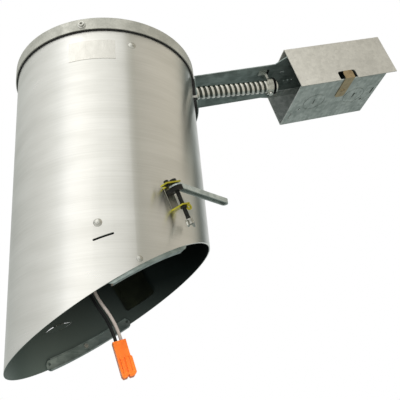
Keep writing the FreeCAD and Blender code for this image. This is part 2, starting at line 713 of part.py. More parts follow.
def box_cover():
    # Front panel and top flange in one bend, ending in a rolled hem round the hinge pin
    depth, height = hinge_line()
    back = -BOX_DEPTH / 2 - COVER_FREE
    face = back - COVER_SHEET
    top = BOX_HEIGHT + COVER_RISE
    outer = block(V(0, face, -COVER_DROP), V(COVER_LENGTH, depth, top))
    bend = [edge for edge in outer.Edges
            if edge.CenterOfMass.z > top - FIT and edge.CenterOfMass.y < face + FIT]
    outer = outer.makeFillet(COVER_BEND_R, bend)
    cover = outer.cut(block(V(0, back, -COVER_DROP), V(COVER_LENGTH, depth, top - COVER_SHEET)))
    cover = cover.fuse(Part.makeCylinder(HEM_R, COVER_LENGTH, V(0, depth, height), V(1, 0, 0)))
    cover = cover.cut(Part.makeCylinder(PIN_R + PIN_FREE, COVER_LENGTH, V(0, depth, height), V(1, 0, 0)))
    for place in lug_places():
        half = LUG_SHEET / 2 + LUG_SIDE_FREE
        gap = block(V(place - half, depth - LUG_HALF - LUG_BACK_FREE, height - 2 * HEM_R),
                    V(place + half, depth + 2 * HEM_R, top + COVER_SHEET))
        cover = cover.cut(gap)
    notch = block(V(NOTCH_START, face - COVER_SHEET, -COVER_DROP - NOTCH_R),
                  V(NOTCH_START + NOTCH_WIDTH, back + COVER_SHEET, NOTCH_HEIGHT - COVER_DROP))
    corners = [edge for edge in notch.Edges
               if abs(edge.tangentAt(edge.FirstParameter).y) > 0.9 and edge.CenterOfMass.z > 0]
    return on_arm(cover.cut(notch.makeFillet(NOTCH_R, corners)).removeSplitter())


def hinge_pin():
    depth, height = hinge_line()
    pin = Part.makeCylinder(PIN_R, COVER_LENGTH - 2 * PIN_INSET, V(PIN_INSET, depth, height), V(1, 0, 0))
    return on_arm(pin)


def cover_latch():
    # Spring strip under the floor whose end turns up in front of the cover's notch
    half = LATCH_WIDTH / 2
    face = -BOX_DEPTH / 2 - COVER_FREE - COVER_SHEET - LATCH_PROUD
    top = -LATCH_FREE
    strip = block(V(-half, face, top - LATCH_SHEET), V(half, LATCH_HEEL, top))
    tongue = block(V(-half, face, top - LATCH_SHEET), V(half, face + LATCH_SHEET, LATCH_RISE))
    body = strip.fuse(tongue).removeSplitter()
    heel = [edge for edge in body.Edges
            if abs(edge.tangentAt(edge.FirstParameter).z) > 0.9 and edge.CenterOfMass.y > LATCH_HEEL - FIT]
    tips = [edge for edge in body.Edges
            if abs(edge.tangentAt(edge.FirstParameter).y) > 0.9 and edge.CenterOfMass.z > LATCH_RISE - FIT]
    body = body.makeFillet(half / 2, heel + tips)
    body.translate(V(LATCH_MID, 0, 0))
    hole = Part.makeCylinder(LATCH_RIVET_R + FIT, 4 * BOX_SHEET, V(LATCH_MID, LATCH_RIVET_C, -3 * BOX_SHEET))
    return on_arm(body.cut(hole))


def latch_rivet():
    grip = LATCH_SHEET + LATCH_FREE + BOX_SHEET / 2
    body = rivet(LATCH_RIVET_HEAD_R, LATCH_RIVET_HEAD_H, LATCH_RIVET_R, grip, LATCH_RIVET_R, BOX_SHEET / 4)
    body.rotate(V(0, 0, 0), V(1, 0, 0), 180)
    body.translate(V(LATCH_MID, LATCH_RIVET_C, -LATCH_FREE - LATCH_SHEET - FIT / 2))
    return on_arm(body)


def flex_conduit():
    # Interlocked metal hose: a hollow tube whose outside runs in flat-topped ridges
    count = int(CONDUIT_LENGTH / CONDUIT_PITCH)
    pitch = CONDUIT_LENGTH / count
    outline = [(CONDUIT_BORE_R, 0)]
    for index in range(count):
        low = index * pitch
        outline += [(CONDUIT_GROOVE_R, low), (CONDUIT_R, low + pitch * RIDGE_START)]
        outline += [(CONDUIT_R, low + pitch * RIDGE_END)]
    outline += [(CONDUIT_GROOVE_R, CONDUIT_LENGTH), (CONDUIT_BORE_R, CONDUIT_LENGTH)]
    return along_conduit(turned(outline))


def can_connector():
    # Lock ring on the conduit's end inside the can, closed by the throat the wires leave from
    outline = [(0, -THROAT), (NUT_R - NUT_CHAMFER, -THROAT), (NUT_R, 0), (NUT_R, NUT_START + NUT_LENGTH),
               (CONDUIT_R + STRAP_FREE, NUT_START + NUT_LENGTH), (CONDUIT_R + STRAP_FREE, -FIT), (0, -FIT)]
    return along_conduit(turned(outline))


def box_connector():
    # Black ring round the conduit's end, hung from the arm's plate by a neck and a foot
    bore = CONDUIT_R + STRAP_FREE
    end = STRAP_START + STRAP_LENGTH
    collar = turned([(bore, STRAP_START), (STRAP_R, STRAP_START), (STRAP_R, end - STRAP_LIP_LENGTH),
                     (STRAP_R + STRAP_LIP, end - STRAP_LIP_LENGTH), (STRAP_R + STRAP_LIP, end), (bore, end)])
    collar.rotate(V(0, 0, 0), V(0, 0, 1), 90)
    middle = CONDUIT_X + (STRAP_START + STRAP_LENGTH / 2) * math.cos(math.radians(CONDUIT_TILT)) - ARM_X
    rise = CONDUIT_Z + (STRAP_START + STRAP_LENGTH / 2) * math.sin(math.radians(CONDUIT_TILT)) - ARM_Z
    turn = math.radians(ARM_TILT)
    along = middle * math.cos(turn) + rise * math.sin(turn)
    up = rise * math.cos(turn) - middle * math.sin(turn)
    roof = BOX_HEIGHT - BOX_SHEET
    half = STRAP_NECK_WIDTH / 2
    neck = block(V(along - STRAP_NECK_SHEET / 2, CONDUIT_Y - half, up + STRAP_R - STRAP_WALL_IN),
                 V(along + STRAP_NECK_SHEET / 2, CONDUIT_Y + half, roof))
    foot = block(V(along - STRAP_FOOT / 2, CONDUIT_Y - half, roof - BOX_SHEET),
                 V(along + STRAP_FOOT / 2, CONDUIT_Y + half, roof))
    hole = along_conduit(screw_drill(STRAP_SCREW_R + FIT))
    return along_conduit(collar).cut(hole).fuse(on_arm(neck.fuse(foot)))


def screw_drill(radius):
    # A cylinder down through the lower side of the strap's ring
    start = STRAP_START + STRAP_LENGTH / 3
    return Part.makeCylinder(radius, 2 * STRAP_R, V(CONDUIT_R + STRAP_FREE, 0, start), V(1, 0, 0))


def connector_screw():
    start = STRAP_START + STRAP_LENGTH / 3
    low = CONDUIT_R + STRAP_FREE
    seat = STRAP_R
    body = Part.makeCylinder(STRAP_SCREW_R, seat - low + FIT, V(low, 0, start), V(1, 0, 0))
    head = Part.makeCylinder(STRAP_SCREW_HEAD_R, STRAP_SCREW_HEAD_H, V(seat + FIT, 0, start), V(1, 0, 0))
    return along_conduit(body.fuse(head))


def ground_screw():
    # Grounding screw in the box's back wall
    head = turned([(0, 0), (GROUND_FLANGE_R, 0), (GROUND_FLANGE_R, GROUND_FLANGE_H),
                   (GROUND_HEX_R, GROUND_FLANGE_H), (GROUND_HEX_R, GROUND_HEX_H), (0, GROUND_HEX_H)])
    head.rotate(V(0, 0, 0), V(1, 0, 0), 90)
    head.translate(V(BOX_LENGTH / 2, BOX_DEPTH / 2 - BOX_SHEET, BOX_HEIGHT / 3))
    return on_arm(head)


def at_clamp(shape, far):
    # Local Z runs up the clamp screw, X along the rim and -Y outwards; the far clamp is mirrored
    turn = math.radians(CLAMP_AZ)
    lean = math.radians(CLAMP_TILT)
    out = V(math.cos(turn), math.sin(turn), 0)
    side = V(-math.sin(turn), math.cos(turn), 0)
    up = side * -math.sin(lean) + V(0, 0, math.cos(lean))
    rim = side * math.cos(lean) + V(0, 0, math.sin(lean))
    spot = out * (CAN_R + CLAMP_OFF) + V(0, 0, CLAMP_Z)
    matrix = FreeCAD.Matrix(rim.x, -out.x, up.x, spot.x, rim.y, -out.y, up.y, spot.y,
                            rim.z, -out.z, up.z, spot.z, 0, 0, 0, 1)
    placed = shape.copy()
    placed.Placement = FreeCAD.Placement(matrix).multiply(placed.Placement)
    if far:
        placed = placed.mirror(V(0, 0, 0), out)
        placed.translate(V(0, 0, -CLAMP_DROP))
    return placed


def clamp_guide():
    # Zinc-plated bracket on the can: a back strap with an upper and a lower tab for the screw
    half = GUIDE_WIDTH / 2
    back = CLAMP_OFF - GUIDE_BACK_FREE
    front = back - GUIDE_BACK_SHEET
    strap = block(V(-half, front, GUIDE_LOW), V(half, back, GUIDE_TOP + GUIDE_SHEET))
    upper = block(V(-half - GUIDE_EAR, -GUIDE_OUT, GUIDE_TOP), V(half, back, GUIDE_TOP + GUIDE_SHEET))
    cut = block(V(-half - GUIDE_EAR, GUIDE_OUT, GUIDE_TOP - OVERCUT),
                V(-half, back + OVERCUT, GUIDE_TOP + GUIDE_SHEET + OVERCUT))
    lower = block(V(-half, -GUIDE_OUT, GUIDE_LOW), V(half, back, GUIDE_LOW + GUIDE_SHEET))
    body = strap.fuse([upper.cut(cut), lower])
    centre = V(half + EYE_R * 0.6, EYE_SHEET / 2, GUIDE_LOW - EYE_DOWN)
    body = body.fuse(Part.makeCylinder(EYE_R, EYE_SHEET, centre, V(0, -1, 0)))
    hollow = Part.makeCylinder(EYE_BORE_R, 2 * EYE_SHEET, centre + V(0, EYE_SHEET / 2, 0), V(0, -1, 0))
    bore = Part.makeCylinder(SCREW_R + RUN_FREE, GUIDE_TOP - GUIDE_LOW + 2 * GUIDE_SHEET,
                             V(0, 0, GUIDE_LOW - OVERCUT))
    stud = Part.makeCylinder(STUD_R + FIT, 3 * GUIDE_SHEET, V(-half - GUIDE_EAR / 2, 0, GUIDE_TOP - OVERCUT))
    return body.cut(hollow).cut(bore).cut(stud).removeSplitter()


def clamp_stud():
    # Black stud riveted through the upper tab's ear
    place = -GUIDE_WIDTH / 2 - GUIDE_EAR / 2
    under = GUIDE_TOP - FIT
    low = under - STUD_TAIL_H
    over = GUIDE_TOP + GUIDE_SHEET + FIT
    top = over + STUD_KNOB_H
    body = turned([(0, low), (STUD_KNOB_R, low), (STUD_KNOB_R, under), (STUD_R, under), (STUD_R, over),
                   (STUD_KNOB_R, over), (STUD_KNOB_R, top - STUD_CHAMFER), (STUD_KNOB_R - STUD_CHAMFER, top),
                   (0, top)])
    body.translate(V(place, 0, 0))
    return body


def clamp_screw():
    # Long screw with a head over the upper tab and a collar under the lower one
    seat = GUIDE_TOP + GUIDE_SHEET + SEAT
    under = GUIDE_LOW - SEAT
    top = seat + SCREW_HEAD_H
    outline = [(0, -SCREW_DOWN), (SCREW_R, -SCREW_DOWN), (SCREW_R, under - COLLAR_H),
               (COLLAR_R, under - COLLAR_H), (COLLAR_R, under), (SCREW_R, under), (SCREW_R, seat),
               (SCREW_HEAD_R, seat),
               (SCREW_HEAD_R, top - HEAD_CHAMFER), (SCREW_HEAD_R - HEAD_CHAMFER, top), (0, top)]
    return turned(outline)


def clamp_wing():
    # Pressed wing grip on the screw's lower end
    top = -SCREW_DOWN + WING_HUB_H
    low = -SCREW_DOWN
    root = WING_HUB_R - WING_ROOT_IN
    bore = SCREW_R + FIT
    body = turned([(bore, low), (WING_HUB_R + WING_HUB_FLARE, low), (WING_HUB_R, top), (bore, top)])
    for side in (-1, 1):
        outline = [V(side * root, 0, low + WING_ROOT_STEP),
                   V(side * (WING_SPAN - WING_TIP), 0, low - WING_DIP),
                   V(side * WING_SPAN, 0, low - WING_TIP_DROP),
                   V(side * (WING_SPAN - WING_TIP / 2), 0, low + WING_TIP_RISE),
                   V(side * root, 0, top - WING_ROOT_STEP)]
        wing = Part.Face(Part.makePolygon(outline + outline[:1])).extrude(V(0, WING_SHEET, 0))
        wing.translate(V(0, -WING_SHEET / 2, 0))
        body = body.fuse(wing)
    body = body.cut(Part.makeCylinder(bore, 4 * WING_HUB_H, V(0, 0, top - 2 * WING_HUB_H)))
    body.rotate(V(0, 0, 0), V(0, 0, 1), WING_SWEEP)
    return body.removeSplitter()


def carrier_top():
    return CARRIER_LOW + CARRIER_BLOCK_H


def clamp_nut():
    # Travelling nut, kept from turning by the back strap, with a neck that the arm swings on
    back = CLAMP_OFF - GUIDE_BACK_FREE - GUIDE_BACK_SHEET - CARRIER_FREE
    half = CARRIER_WIDTH / 2
    body = block(V(-half, -half, CARRIER_LOW), V(half, back, carrier_top()))
    neck_top = carrier_top() + SWING_SHEET + 2 * SWING_PLAY
    body = body.fuse(Part.makeCylinder(CARRIER_NECK_R, neck_top - CARRIER_LOW, V(0, 0, CARRIER_LOW)))
    body = body.fuse(Part.makeCylinder(CARRIER_RIM_R, CARRIER_RIM_H, V(0, 0, neck_top)))
    bore = Part.makeCylinder(SCREW_R + RUN_FREE, 4 * CARRIER_BLOCK_H, V(0, 0, CARRIER_LOW - OVERCUT))
    return body.cut(bore)


def clamp_arm():
    # Channel arm on a ring round the nut's neck, stowed level along the can's side
    low = carrier_top() + SWING_PLAY
    half = SWING_WIDTH / 2
    eye = Part.makeCylinder(SWING_RING_R, SWING_SHEET, V(0, 0, low))
    link = block(V(0, -half, low), V(SWING_START, half, low + SWING_SHEET))
    fall = math.radians(CLAMP_TILT)
    channel = block(V(0, -half, -SWING_DEPTH), V(SWING_LENGTH, half, 0))
    tip = SWING_LENGTH - OVERCUT
    nose = [edge for edge in channel.Edges
            if abs(edge.tangentAt(edge.FirstParameter).z) > 0.9 and edge.CenterOfMass.x > tip]
    channel = channel.makeFillet(half * 0.9, nose)
    trough = block(V(-OVERCUT, -half + SWING_WALL, -SWING_DEPTH - OVERCUT),
                   V(SWING_LENGTH - SWING_WALL * 2, half - SWING_WALL, -SWING_WALL))
    channel = channel.cut(trough)
    channel.rotate(V(0, 0, 0), V(0, 1, 0), math.degrees(fall))
    channel.translate(V(SWING_START - SWING_SHEET, 0, low + SWING_SHEET))
    swept = math.hypot(CARRIER_WIDTH / 2, CARRIER_WIDTH / 2) + CARRIER_FREE
    channel = channel.cut(Part.makeCylinder(swept, 2 * SWING_DEPTH, V(0, 0, low - 2 * SWING_DEPTH)))
    body = eye.fuse([link, channel]).removeSplitter()
    return body.cut(Part.makeCylinder(CARRIER_NECK_R + RUN_FREE, 4 * SWING_SHEET, V(0, 0, low - SWING_SHEET)))


def conduit_point(along, side):
    turn = math.radians(CONDUIT_TILT)
    return V(CONDUIT_X + along * math.cos(turn), CONDUIT_Y + side, CONDUIT_Z + along * math.sin(turn))


def plug_point(down, side):
    turn = math.radians(PLUG_TILT)
    return V(PLUG_X + down * math.sin(turn) + side * math.cos(turn), PLUG_Y,
             PLUG_Z - down * math.cos(turn) + side * math.sin(turn))


def wire_route(side):
    # From the connector in the can down and out of the opening, to the plug's top
    sign = 1 if side > 0 else -1
    start = conduit_point(-THROAT, side * WIRE_SIDE)
    lead = conduit_point(-THROAT - WIRE_LEAD, side * WIRE_SIDE)
    black = [V(24, -16.6, 184), V(-8, -16, 142), V(-29, -15, 94), V(-32, -14.5, 48), V(-20.5, -14, 9)]
    white = [V(27, -11.4, 187), V(-5, -12.5, 146), V(-26, -13, 98), V(-28.6, -13.8, 51), V(-17.2, -14, 11)]
    middle = white if sign > 0 else black
    entry = side * PLUG_WIRE_SIDE
    return [start, lead] + middle + [plug_point(-PLUG_TAIL, entry), plug_point(0, entry)]


def wire(side, name):
    # Straight runs joined by tangent arcs, each as large as its runs allow
    points = wire_route(side)
    edges = []
    at = points[0]
    radii = []
    for before, corner, after in zip(points, points[1:], points[2:]):
        back = before.sub(corner)
        ahead = after.sub(corner)
        turn = math.pi - back.getAngle(ahead)
        reach = ARC_SHARE * min(back.Length, ahead.Length)
        radii.append(reach / math.tan(turn / 2))
        start = corner + back.normalize() * reach
        end = corner + ahead.normalize() * reach
        centre = corner + (back + ahead).normalize() * math.hypot(radii[-1], reach)
        middle = centre + corner.sub(centre).normalize() * radii[-1]
        edges += [Part.LineSegment(at, start).toShape(), Part.Arc(start, middle, end).toShape()]
        at = end
    edges.append(Part.LineSegment(at, points[-1]).toShape())
    path = Part.Wire(edges)
    profile = Part.Wire(Part.Circle(points[0], points[1].sub(points[0]), WIRE_R).toShape())
    tube = path.makePipeShell([profile], True, False)
    print(name, "length", round(path.Length, 1), "radii", [round(radius, 1) for radius in radii],
          "volume share", round(tube.Volume / (math.pi * WIRE_R ** 2 * path.Length), 4))
    return tube


def quick_connector():
    # Push-in connector with two wire entries, side steps, three grooves and a notched end
    half = PLUG_WIDTH / 2
    thick = PLUG_DEPTH / 2
    outline = [(-half, 0), (half, 0), (half, -PLUG_STEP_DOWN),
               (half + PLUG_STEP, -PLUG_STEP_DOWN - PLUG_STEP),
               (half + PLUG_STEP, -PLUG_LENGTH + PLUG_NOTCH), (half - PLUG_STEP, -PLUG_LENGTH),
               (PLUG_STEP, -PLUG_LENGTH), (0, -PLUG_LENGTH + PLUG_NOTCH), (-PLUG_STEP, -PLUG_LENGTH),
               (-half + PLUG_STEP, -PLUG_LENGTH), (-half, -PLUG_LENGTH + PLUG_NOTCH)]
    body = prism(outline, PLUG_DEPTH, -thick)
    for index in range(PLUG_GROOVES):
        place = (index - (PLUG_GROOVES - 1) / 2) * PLUG_WIDTH / PLUG_GROOVES
        low = -PLUG_LENGTH + PLUG_GROOVE_UP
        for face in (-thick, thick - PLUG_GROOVE_CUT):
            groove = block(V(place - PLUG_GROOVE_WIDTH / 2, low, face),
                           V(place + PLUG_GROOVE_WIDTH / 2, low + PLUG_GROOVE_LENGTH, face + PLUG_GROOVE_CUT))
            body = body.cut(groove)
    turn = math.radians(PLUG_TILT)
    matrix = FreeCAD.Matrix(math.cos(turn), -math.sin(turn), 0, PLUG_X, 0, 0, -1, PLUG_Y,
                            math.sin(turn), math.cos(turn), 0, PLUG_Z, 0, 0, 0, 1)
    body.Placement = FreeCAD.Placement(matrix)
    return body


def save(name, shape):
    solids = shape if isinstance(shape, list) else [shape]
    flat = [solid for piece in solids for solid in piece.Solids]
    result = flat[0] if len(flat) == 1 else Part.makeCompound(flat)
    if not result.isValid() or len(flat) != len(solids):
        print("check", name, "valid", result.isValid(), "solids", len(flat))
    result.exportStep("parts/" + name + ".step")


os.makedirs("parts", exist_ok=True)
save("can_body", can_body())
save("top_cap", top_cap())
save("cap_gasket", cap_gasket())
save("cap_screws", cap_screws())
save("can_rivets", can_rivets())
save("foil_patch", foil_patch())
save("access_plate", access_plate())
save("trim_rail_far", trim_rail(FAR_RAIL_START, FAR_RAIL_END, FAR_RAIL_RIVET_AZ))
save("trim_rail_near", trim_rail(NEAR_RAIL_START, NEAR_RAIL_END, NEAR_RAIL_RIVET_AZ))
save("rail_rivets", rail_rivets())
save("arm_bracket", arm_bracket())
save("saddle_pad", saddle_pad())
save("saddle_rivets", saddle_rivets())
save("junction_box", junction_box())
save("box_rivets", box_rivets())
save("box_cover", box_cover())
save("hinge_pin", hinge_pin())
save("cover_latch", cover_latch())
save("latch_rivet", latch_rivet())
save("flex_conduit", flex_conduit())
save("can_connector", can_connector())
save("box_connector", box_connector())
save("connector_screw", connector_screw())
save("ground_screw", ground_screw())
for far, label in ((False, "near"), (True, "far")):
    save("clamp_guide_" + label, at_clamp(clamp_guide(), far))
    save("clamp_stud_" + label, at_clamp(clamp_stud(), far))
    save("clamp_screw_" + label, at_clamp(clamp_screw(), far))
    save("clamp_wing_" + label, at_clamp(clamp_wing(), far))
    save("clamp_nut_" + label, at_clamp(clamp_nut(), far))
    save("clamp_arm_" + label, at_clamp(clamp_arm(), far))
save("wire_black", wire(-1, "wire_black"))
save("wire_white", wire(1, "wire_white"))
save("quick_connector", quick_connector())
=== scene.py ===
import math
from functools import partial

import bpy
import numpy as np
from mathutils import Matrix, Vector


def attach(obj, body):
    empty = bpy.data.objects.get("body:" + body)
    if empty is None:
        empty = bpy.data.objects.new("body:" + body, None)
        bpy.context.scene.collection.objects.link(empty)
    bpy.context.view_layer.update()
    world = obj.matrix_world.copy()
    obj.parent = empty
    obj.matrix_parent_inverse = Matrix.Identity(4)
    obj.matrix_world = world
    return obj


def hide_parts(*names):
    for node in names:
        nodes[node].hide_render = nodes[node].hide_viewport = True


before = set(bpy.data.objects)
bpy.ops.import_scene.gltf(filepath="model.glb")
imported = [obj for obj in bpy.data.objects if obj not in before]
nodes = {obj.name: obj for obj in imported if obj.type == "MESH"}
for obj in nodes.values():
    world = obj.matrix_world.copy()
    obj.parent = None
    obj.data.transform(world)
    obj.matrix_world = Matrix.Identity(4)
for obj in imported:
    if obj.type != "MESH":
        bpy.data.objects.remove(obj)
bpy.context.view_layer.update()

# Looks for a recessed light housing: slant-cut aluminium can, folded junction box on an arm,
# ridged conduit, two swing-out clamps and a plug-in lead. Everything is in metres, in the part's frame.
scene = bpy.context.scene
mm = 0.001
print("frame loaded:", len(nodes), "nodes")


# Camera, fitted to the photograph's rim, skirt and sides
camera = {
    "place": (-0.04227, -0.48781, -0.15663),
    "right": (0.97602, -0.19699, -0.09257),
    "up": (-0.01026, -0.46646, 0.88449),
    "ahead": (0.21742, 0.86233, 0.45729),
    "lens": 56.1,
    "sensor": 36.0,     # mm wide, square frame
    "nearest": 0.01,
    "farthest": 50.0,
}


def makeCamera():
    data = bpy.data.cameras.new("studio_camera")
    data.lens = camera["lens"]
    data.sensor_width = camera["sensor"]
    data.clip_start = camera["nearest"]
    data.clip_end = camera["farthest"]
    eye = bpy.data.objects.new("studio_camera", data)
    columns = (camera["right"], camera["up"], [-value for value in camera["ahead"]])
    turn = Matrix(columns).transposed().to_4x4()
    eye.matrix_world = Matrix.Translation(camera["place"]) @ turn
    scene.collection.objects.link(eye)
    scene.camera = eye


makeCamera()
print("camera placed")


# Small helpers for materials
def toLinear(code):
    # sRGB hex to linear: the usual power curve with a straight toe
    values = np.array([int(code[index:index + 2], 16) for index in (1, 3, 5)]) / 255
    linear = np.where(values <= 0.04045, values / 12.92, ((values + 0.055) / 1.055) ** 2.4)
    return (*[float(value) for value in linear], 1.0)


def addNode(tree, kind, inputs=(), output=None, **settings):
    # One node with its settings and links. Inputs come by name or in order, each a plain value or
    # another node's output. A colour Mix has its share and colours at 0, 6 and 7, its result at 2
    node = tree.nodes.new(kind)
    for name, value in settings.items():
        setattr(node, name, value)
    for name, value in inputs.items() if isinstance(inputs, dict) else enumerate(inputs):
        if isinstance(value, bpy.types.NodeSocket):
            tree.links.new(value, node.inputs[name])
        else:
            node.inputs[name].default_value = value
    return node if output is None else node.outputs[output]


def startMaterial(name):
    # An empty material, what adds a node to it, and the piece's own coordinates
    material = bpy.data.materials.new(name)
    material.use_nodes = True
    material.node_tree.nodes.clear()
    add = partial(addNode, material.node_tree)
    return material, add, add("ShaderNodeTexCoord", output="Object")


def closeMaterial(add, sockets):
    add("ShaderNodeOutputMaterial", {"Surface": add("ShaderNodeBsdfPrincipled", sockets, "BSDF")})


def grainScale(sizeMm, stretch=(1, 1, 1)):
    # Grains to the metre, for a grain of sizeMm drawn out by the given factors
    return [1.0 / (sizeMm * mm * factor) for factor in stretch]


# Materials
millSheet = {
    "bright": "#f7f7f4",
    "dull": "#ebebe7",
    # The inside tones are painted shade: the can's inner face is painted darker, and darker still further up
    "inside": "#76837d",
    "insideDeepShade": "#27312f",
    "shadeDeepening": (-0.04, 0.05),     # the painted shade inside deepens between these heights
    "lineMm": 0.7,                  # rolling lines run round the can; the real ones are finer than this
    "lineStretch": (90, 90, 1),
    "lineShare": 0.35,
    "lineDepthMm": 0.0012,
    "streakMm": 11.0,
    "streakStretch": (6, 6, 1.6),
    "streakShare": 0.65,
    "cloudMm": 38.0,
    "cloudShare": 0.5,
    "wear": (0.36, 0.62),           # bright to dull over this part of the noise
    "hazing": (0.5, 0.95),          # and from glossy to hazy over this part of it
    "roughness": (0.27, 0.34),
    "insideEdge": 0.01,             # how sharply the outside turns into the inside
    "insideRougher": 0.2,
    "insideScatter": 0.45,          # share of the light that the oxide inside scatters
    "smear": 0.85,
    "smearTurn": 0.25,
}


def millAluminium():
    # Rolled mill-finish aluminium: bright, with fine level lines round the can that smear a
    # highlight up and down; the inside is painted a dull grey-green as painted shade, darker further up.
    # Wear is the lines times their share plus the streaks times theirs
    look = millSheet
    material, add, place = startMaterial("mill_aluminium_painted_inside_shade")
    parts = add("ShaderNodeSeparateXYZ", [place])
    lineSpot = add("ShaderNodeMapping",
                   {"Vector": place, "Scale": grainScale(look["lineMm"], look["lineStretch"])}, "Vector")
    lines = add("ShaderNodeTexNoise",
                {"Vector": lineSpot, "Scale": 1.0, "Detail": 3.0, "Roughness": 0.5}, "Fac")
    streakSpot = add("ShaderNodeMapping",
                     {"Vector": place, "Scale": grainScale(look["streakMm"], look["streakStretch"])}, "Vector")
    streaks = add("ShaderNodeTexNoise",
                  {"Vector": streakSpot, "Scale": 1.0, "Detail": 3.0, "Roughness": 0.5}, "Fac")
    clouds = add("ShaderNodeTexNoise",
                 {"Vector": place, "Scale": 1 / (look["cloudMm"] * mm), "Detail": 2.0, "Roughness": 0.55}, "Fac")
    lineWear = add("ShaderNodeMath", [lines, look["lineShare"]], "Value", operation="MULTIPLY")
    streakWear = add("ShaderNodeMath", [streaks, look["streakShare"]], "Value", operation="MULTIPLY")
    wear = add("ShaderNodeMath", [lineWear, streakWear], "Value", operation="ADD")
    worn = add("ShaderNodeMapRange", [wear, *look["wear"], 0.0, 1.0], "Result")
    outer = add("ShaderNodeMix", {0: worn, 6: toLinear(look["bright"]), 7: toLinear(look["dull"])}, 2,
                data_type="RGBA")
    # A face is inside where its normal points back at the can's axis
    level = add("ShaderNodeCombineXYZ", {"X": parts.outputs["X"], "Y": parts.outputs["Y"]}, "Vector")
    normal = add("ShaderNodeNewGeometry", output="Normal")
    facing = add("ShaderNodeVectorMath", [level, normal], "Value", operation="DOT_PRODUCT")
    isInside = add("ShaderNodeMapRange", [facing, look["insideEdge"], -look["insideEdge"], 0.0, 1.0], "Result")
    # Painted shade inside the can: darker from the opening up towards the cap
    deepShade = add("ShaderNodeMapRange", [parts.outputs["Z"], *look["shadeDeepening"], 0.0, 1.0], "Result")
    inner = add("ShaderNodeMix", {0: deepShade, 6: toLinear(look["inside"]), 7: toLinear(look["insideDeepShade"])}, 2,
                data_type="RGBA")
    colour = add("ShaderNodeMix", {0: isInside, 6: outer, 7: inner}, 2, data_type="RGBA")
    haze = add("ShaderNodeMath", [clouds, look["cloudShare"]], "Value", operation="MULTIPLY")
    haze = add("ShaderNodeMath", [wear, haze], "Value", operation="ADD")
    gloss = add("ShaderNodeMapRange", [haze, *look["hazing"], *look["roughness"]], "Result")
    rougher = add("ShaderNodeMath", [isInside, look["insideRougher"]], "Value", operation="MULTIPLY")
    scatter = add("ShaderNodeMath", [isInside, look["insideScatter"]], "Value", operation="MULTIPLY")
    closeMaterial(add, {
        "Base Color": colour,
        "Roughness": add("ShaderNodeMath", [gloss, rougher], "Value", operation="ADD"),
        "Metallic": add("ShaderNodeMath", [1.0, scatter], "Value", operation="SUBTRACT"),
        "Anisotropic": look["smear"],
        "Anisotropic Rotation": look["smearTurn"],
        # Level direction round the can, for the smeared highlight
        "Tangent": add("ShaderNodeVectorMath", [(0.0, 0.0, 1.0), level], "Vector", operation="CROSS_PRODUCT"),
        "Normal": add("ShaderNodeBump", {"Height": lines, "Distance": look["lineDepthMm"] * mm}, "Normal"),
    })
    return material


zincBath = {
    "metallic": 0.7,        # the oxide bloom scatters the rest
    "wander": 0.8,          # the crystals' edges wander on a grain of this share of their size
    "askew": (0.3, 0.5),    # turned off the sheet's folds, about X and Z
    "softness": 0.6,
    "crystalShare": 0.25,
    "rubMm": 1.6,
    "rubShare": 0.45,
    "cloudMm": 26.0,
    "cloudShare": 0.4,
    "tones": (0.35, 0.75),  # dark to light over this part of the sum
    "depthMm": 0.006,
}


def zincSheet(name, light, dark, roughLow, roughHigh, spangleMm, streak=(1, 1, 1), turnY=0.0):
    # Hot-dip galvanised sheet: soft-edged crystals of slightly different grey, rubbed along the coil.
    # The tone is crystals, rubbing and clouds, each times its share
    look = zincBath
    material, add, place = startMaterial(name)
    bend = add("ShaderNodeTexNoise", {"Vector": place, "Scale": 1 / (spangleMm * look["wander"] * mm),
                                      "Detail": 2.0, "Roughness": 0.55}, "Fac")
    spot = add("ShaderNodeMapping", {"Vector": place, "Scale": grainScale(spangleMm),
                                     "Rotation": (look["askew"][0], turnY, look["askew"][1])}, "Vector")
    shifted = add("ShaderNodeVectorMath", [spot, bend], "Vector", operation="ADD")
    crystals = add("ShaderNodeTexVoronoi", {"Vector": shifted, "Scale": 1.0, "Smoothness": look["softness"]},
                   "Color", feature="SMOOTH_F1")
    grey = add("ShaderNodeSeparateColor", {"Color": crystals}, "Red")
    coil = add("ShaderNodeMapping", {"Vector": place, "Scale": grainScale(look["rubMm"], streak),
                                     "Rotation": (0, turnY, 0)}, "Vector")
    rub = add("ShaderNodeTexNoise", {"Vector": coil, "Scale": 1.0, "Detail": 4.0, "Roughness": 0.6}, "Fac")
    cloud = add("ShaderNodeTexNoise",
                {"Vector": place, "Scale": 1 / (look["cloudMm"] * mm), "Detail": 3.0, "Roughness": 0.55}, "Fac")
    tone = add("ShaderNodeMath", [grey, look["crystalShare"]], "Value", operation="MULTIPLY")
    for noise, share in ((rub, look["rubShare"]), (cloud, look["cloudShare"])):
        more = add("ShaderNodeMath", [noise, share], "Value", operation="MULTIPLY")
        tone = add("ShaderNodeMath", [tone, more], "Value", operation="ADD")
    share = add("ShaderNodeMapRange", [tone, *look["tones"], 0.0, 1.0], "Result")
    relief = add("ShaderNodeMath", [rub, cloud], "Value", operation="ADD")
    closeMaterial(add, {
        "Base Color": add("ShaderNodeMix", {0: share, 6: toLinear(dark), 7: toLinear(light)}, 2, data_type="RGBA"),
        "Roughness": add("ShaderNodeMapRange", [tone, *look["tones"], roughHigh, roughLow], "Result"),
        "Metallic": look["metallic"],
        "Normal": add("ShaderNodeBump", {"Height": relief, "Distance": look["depthMm"] * mm}, "Normal"),
    })
    return material


plating = {
    "cloudFactor": 7,           # clouds are this many grains across
    "tones": (0.75, 1.25),      # dark to light over this part of grain plus cloud
    "highSpots": (0.5, 0.62),   # how far an edge stands out before it is rubbed
    "rubbed": 0.5,
    "grains": (0.3, 0.7),       # the roughness spreads over this part of the grain
    "glossSpread": (0.8, 1.25),
    "depthMm": 0.015,
}


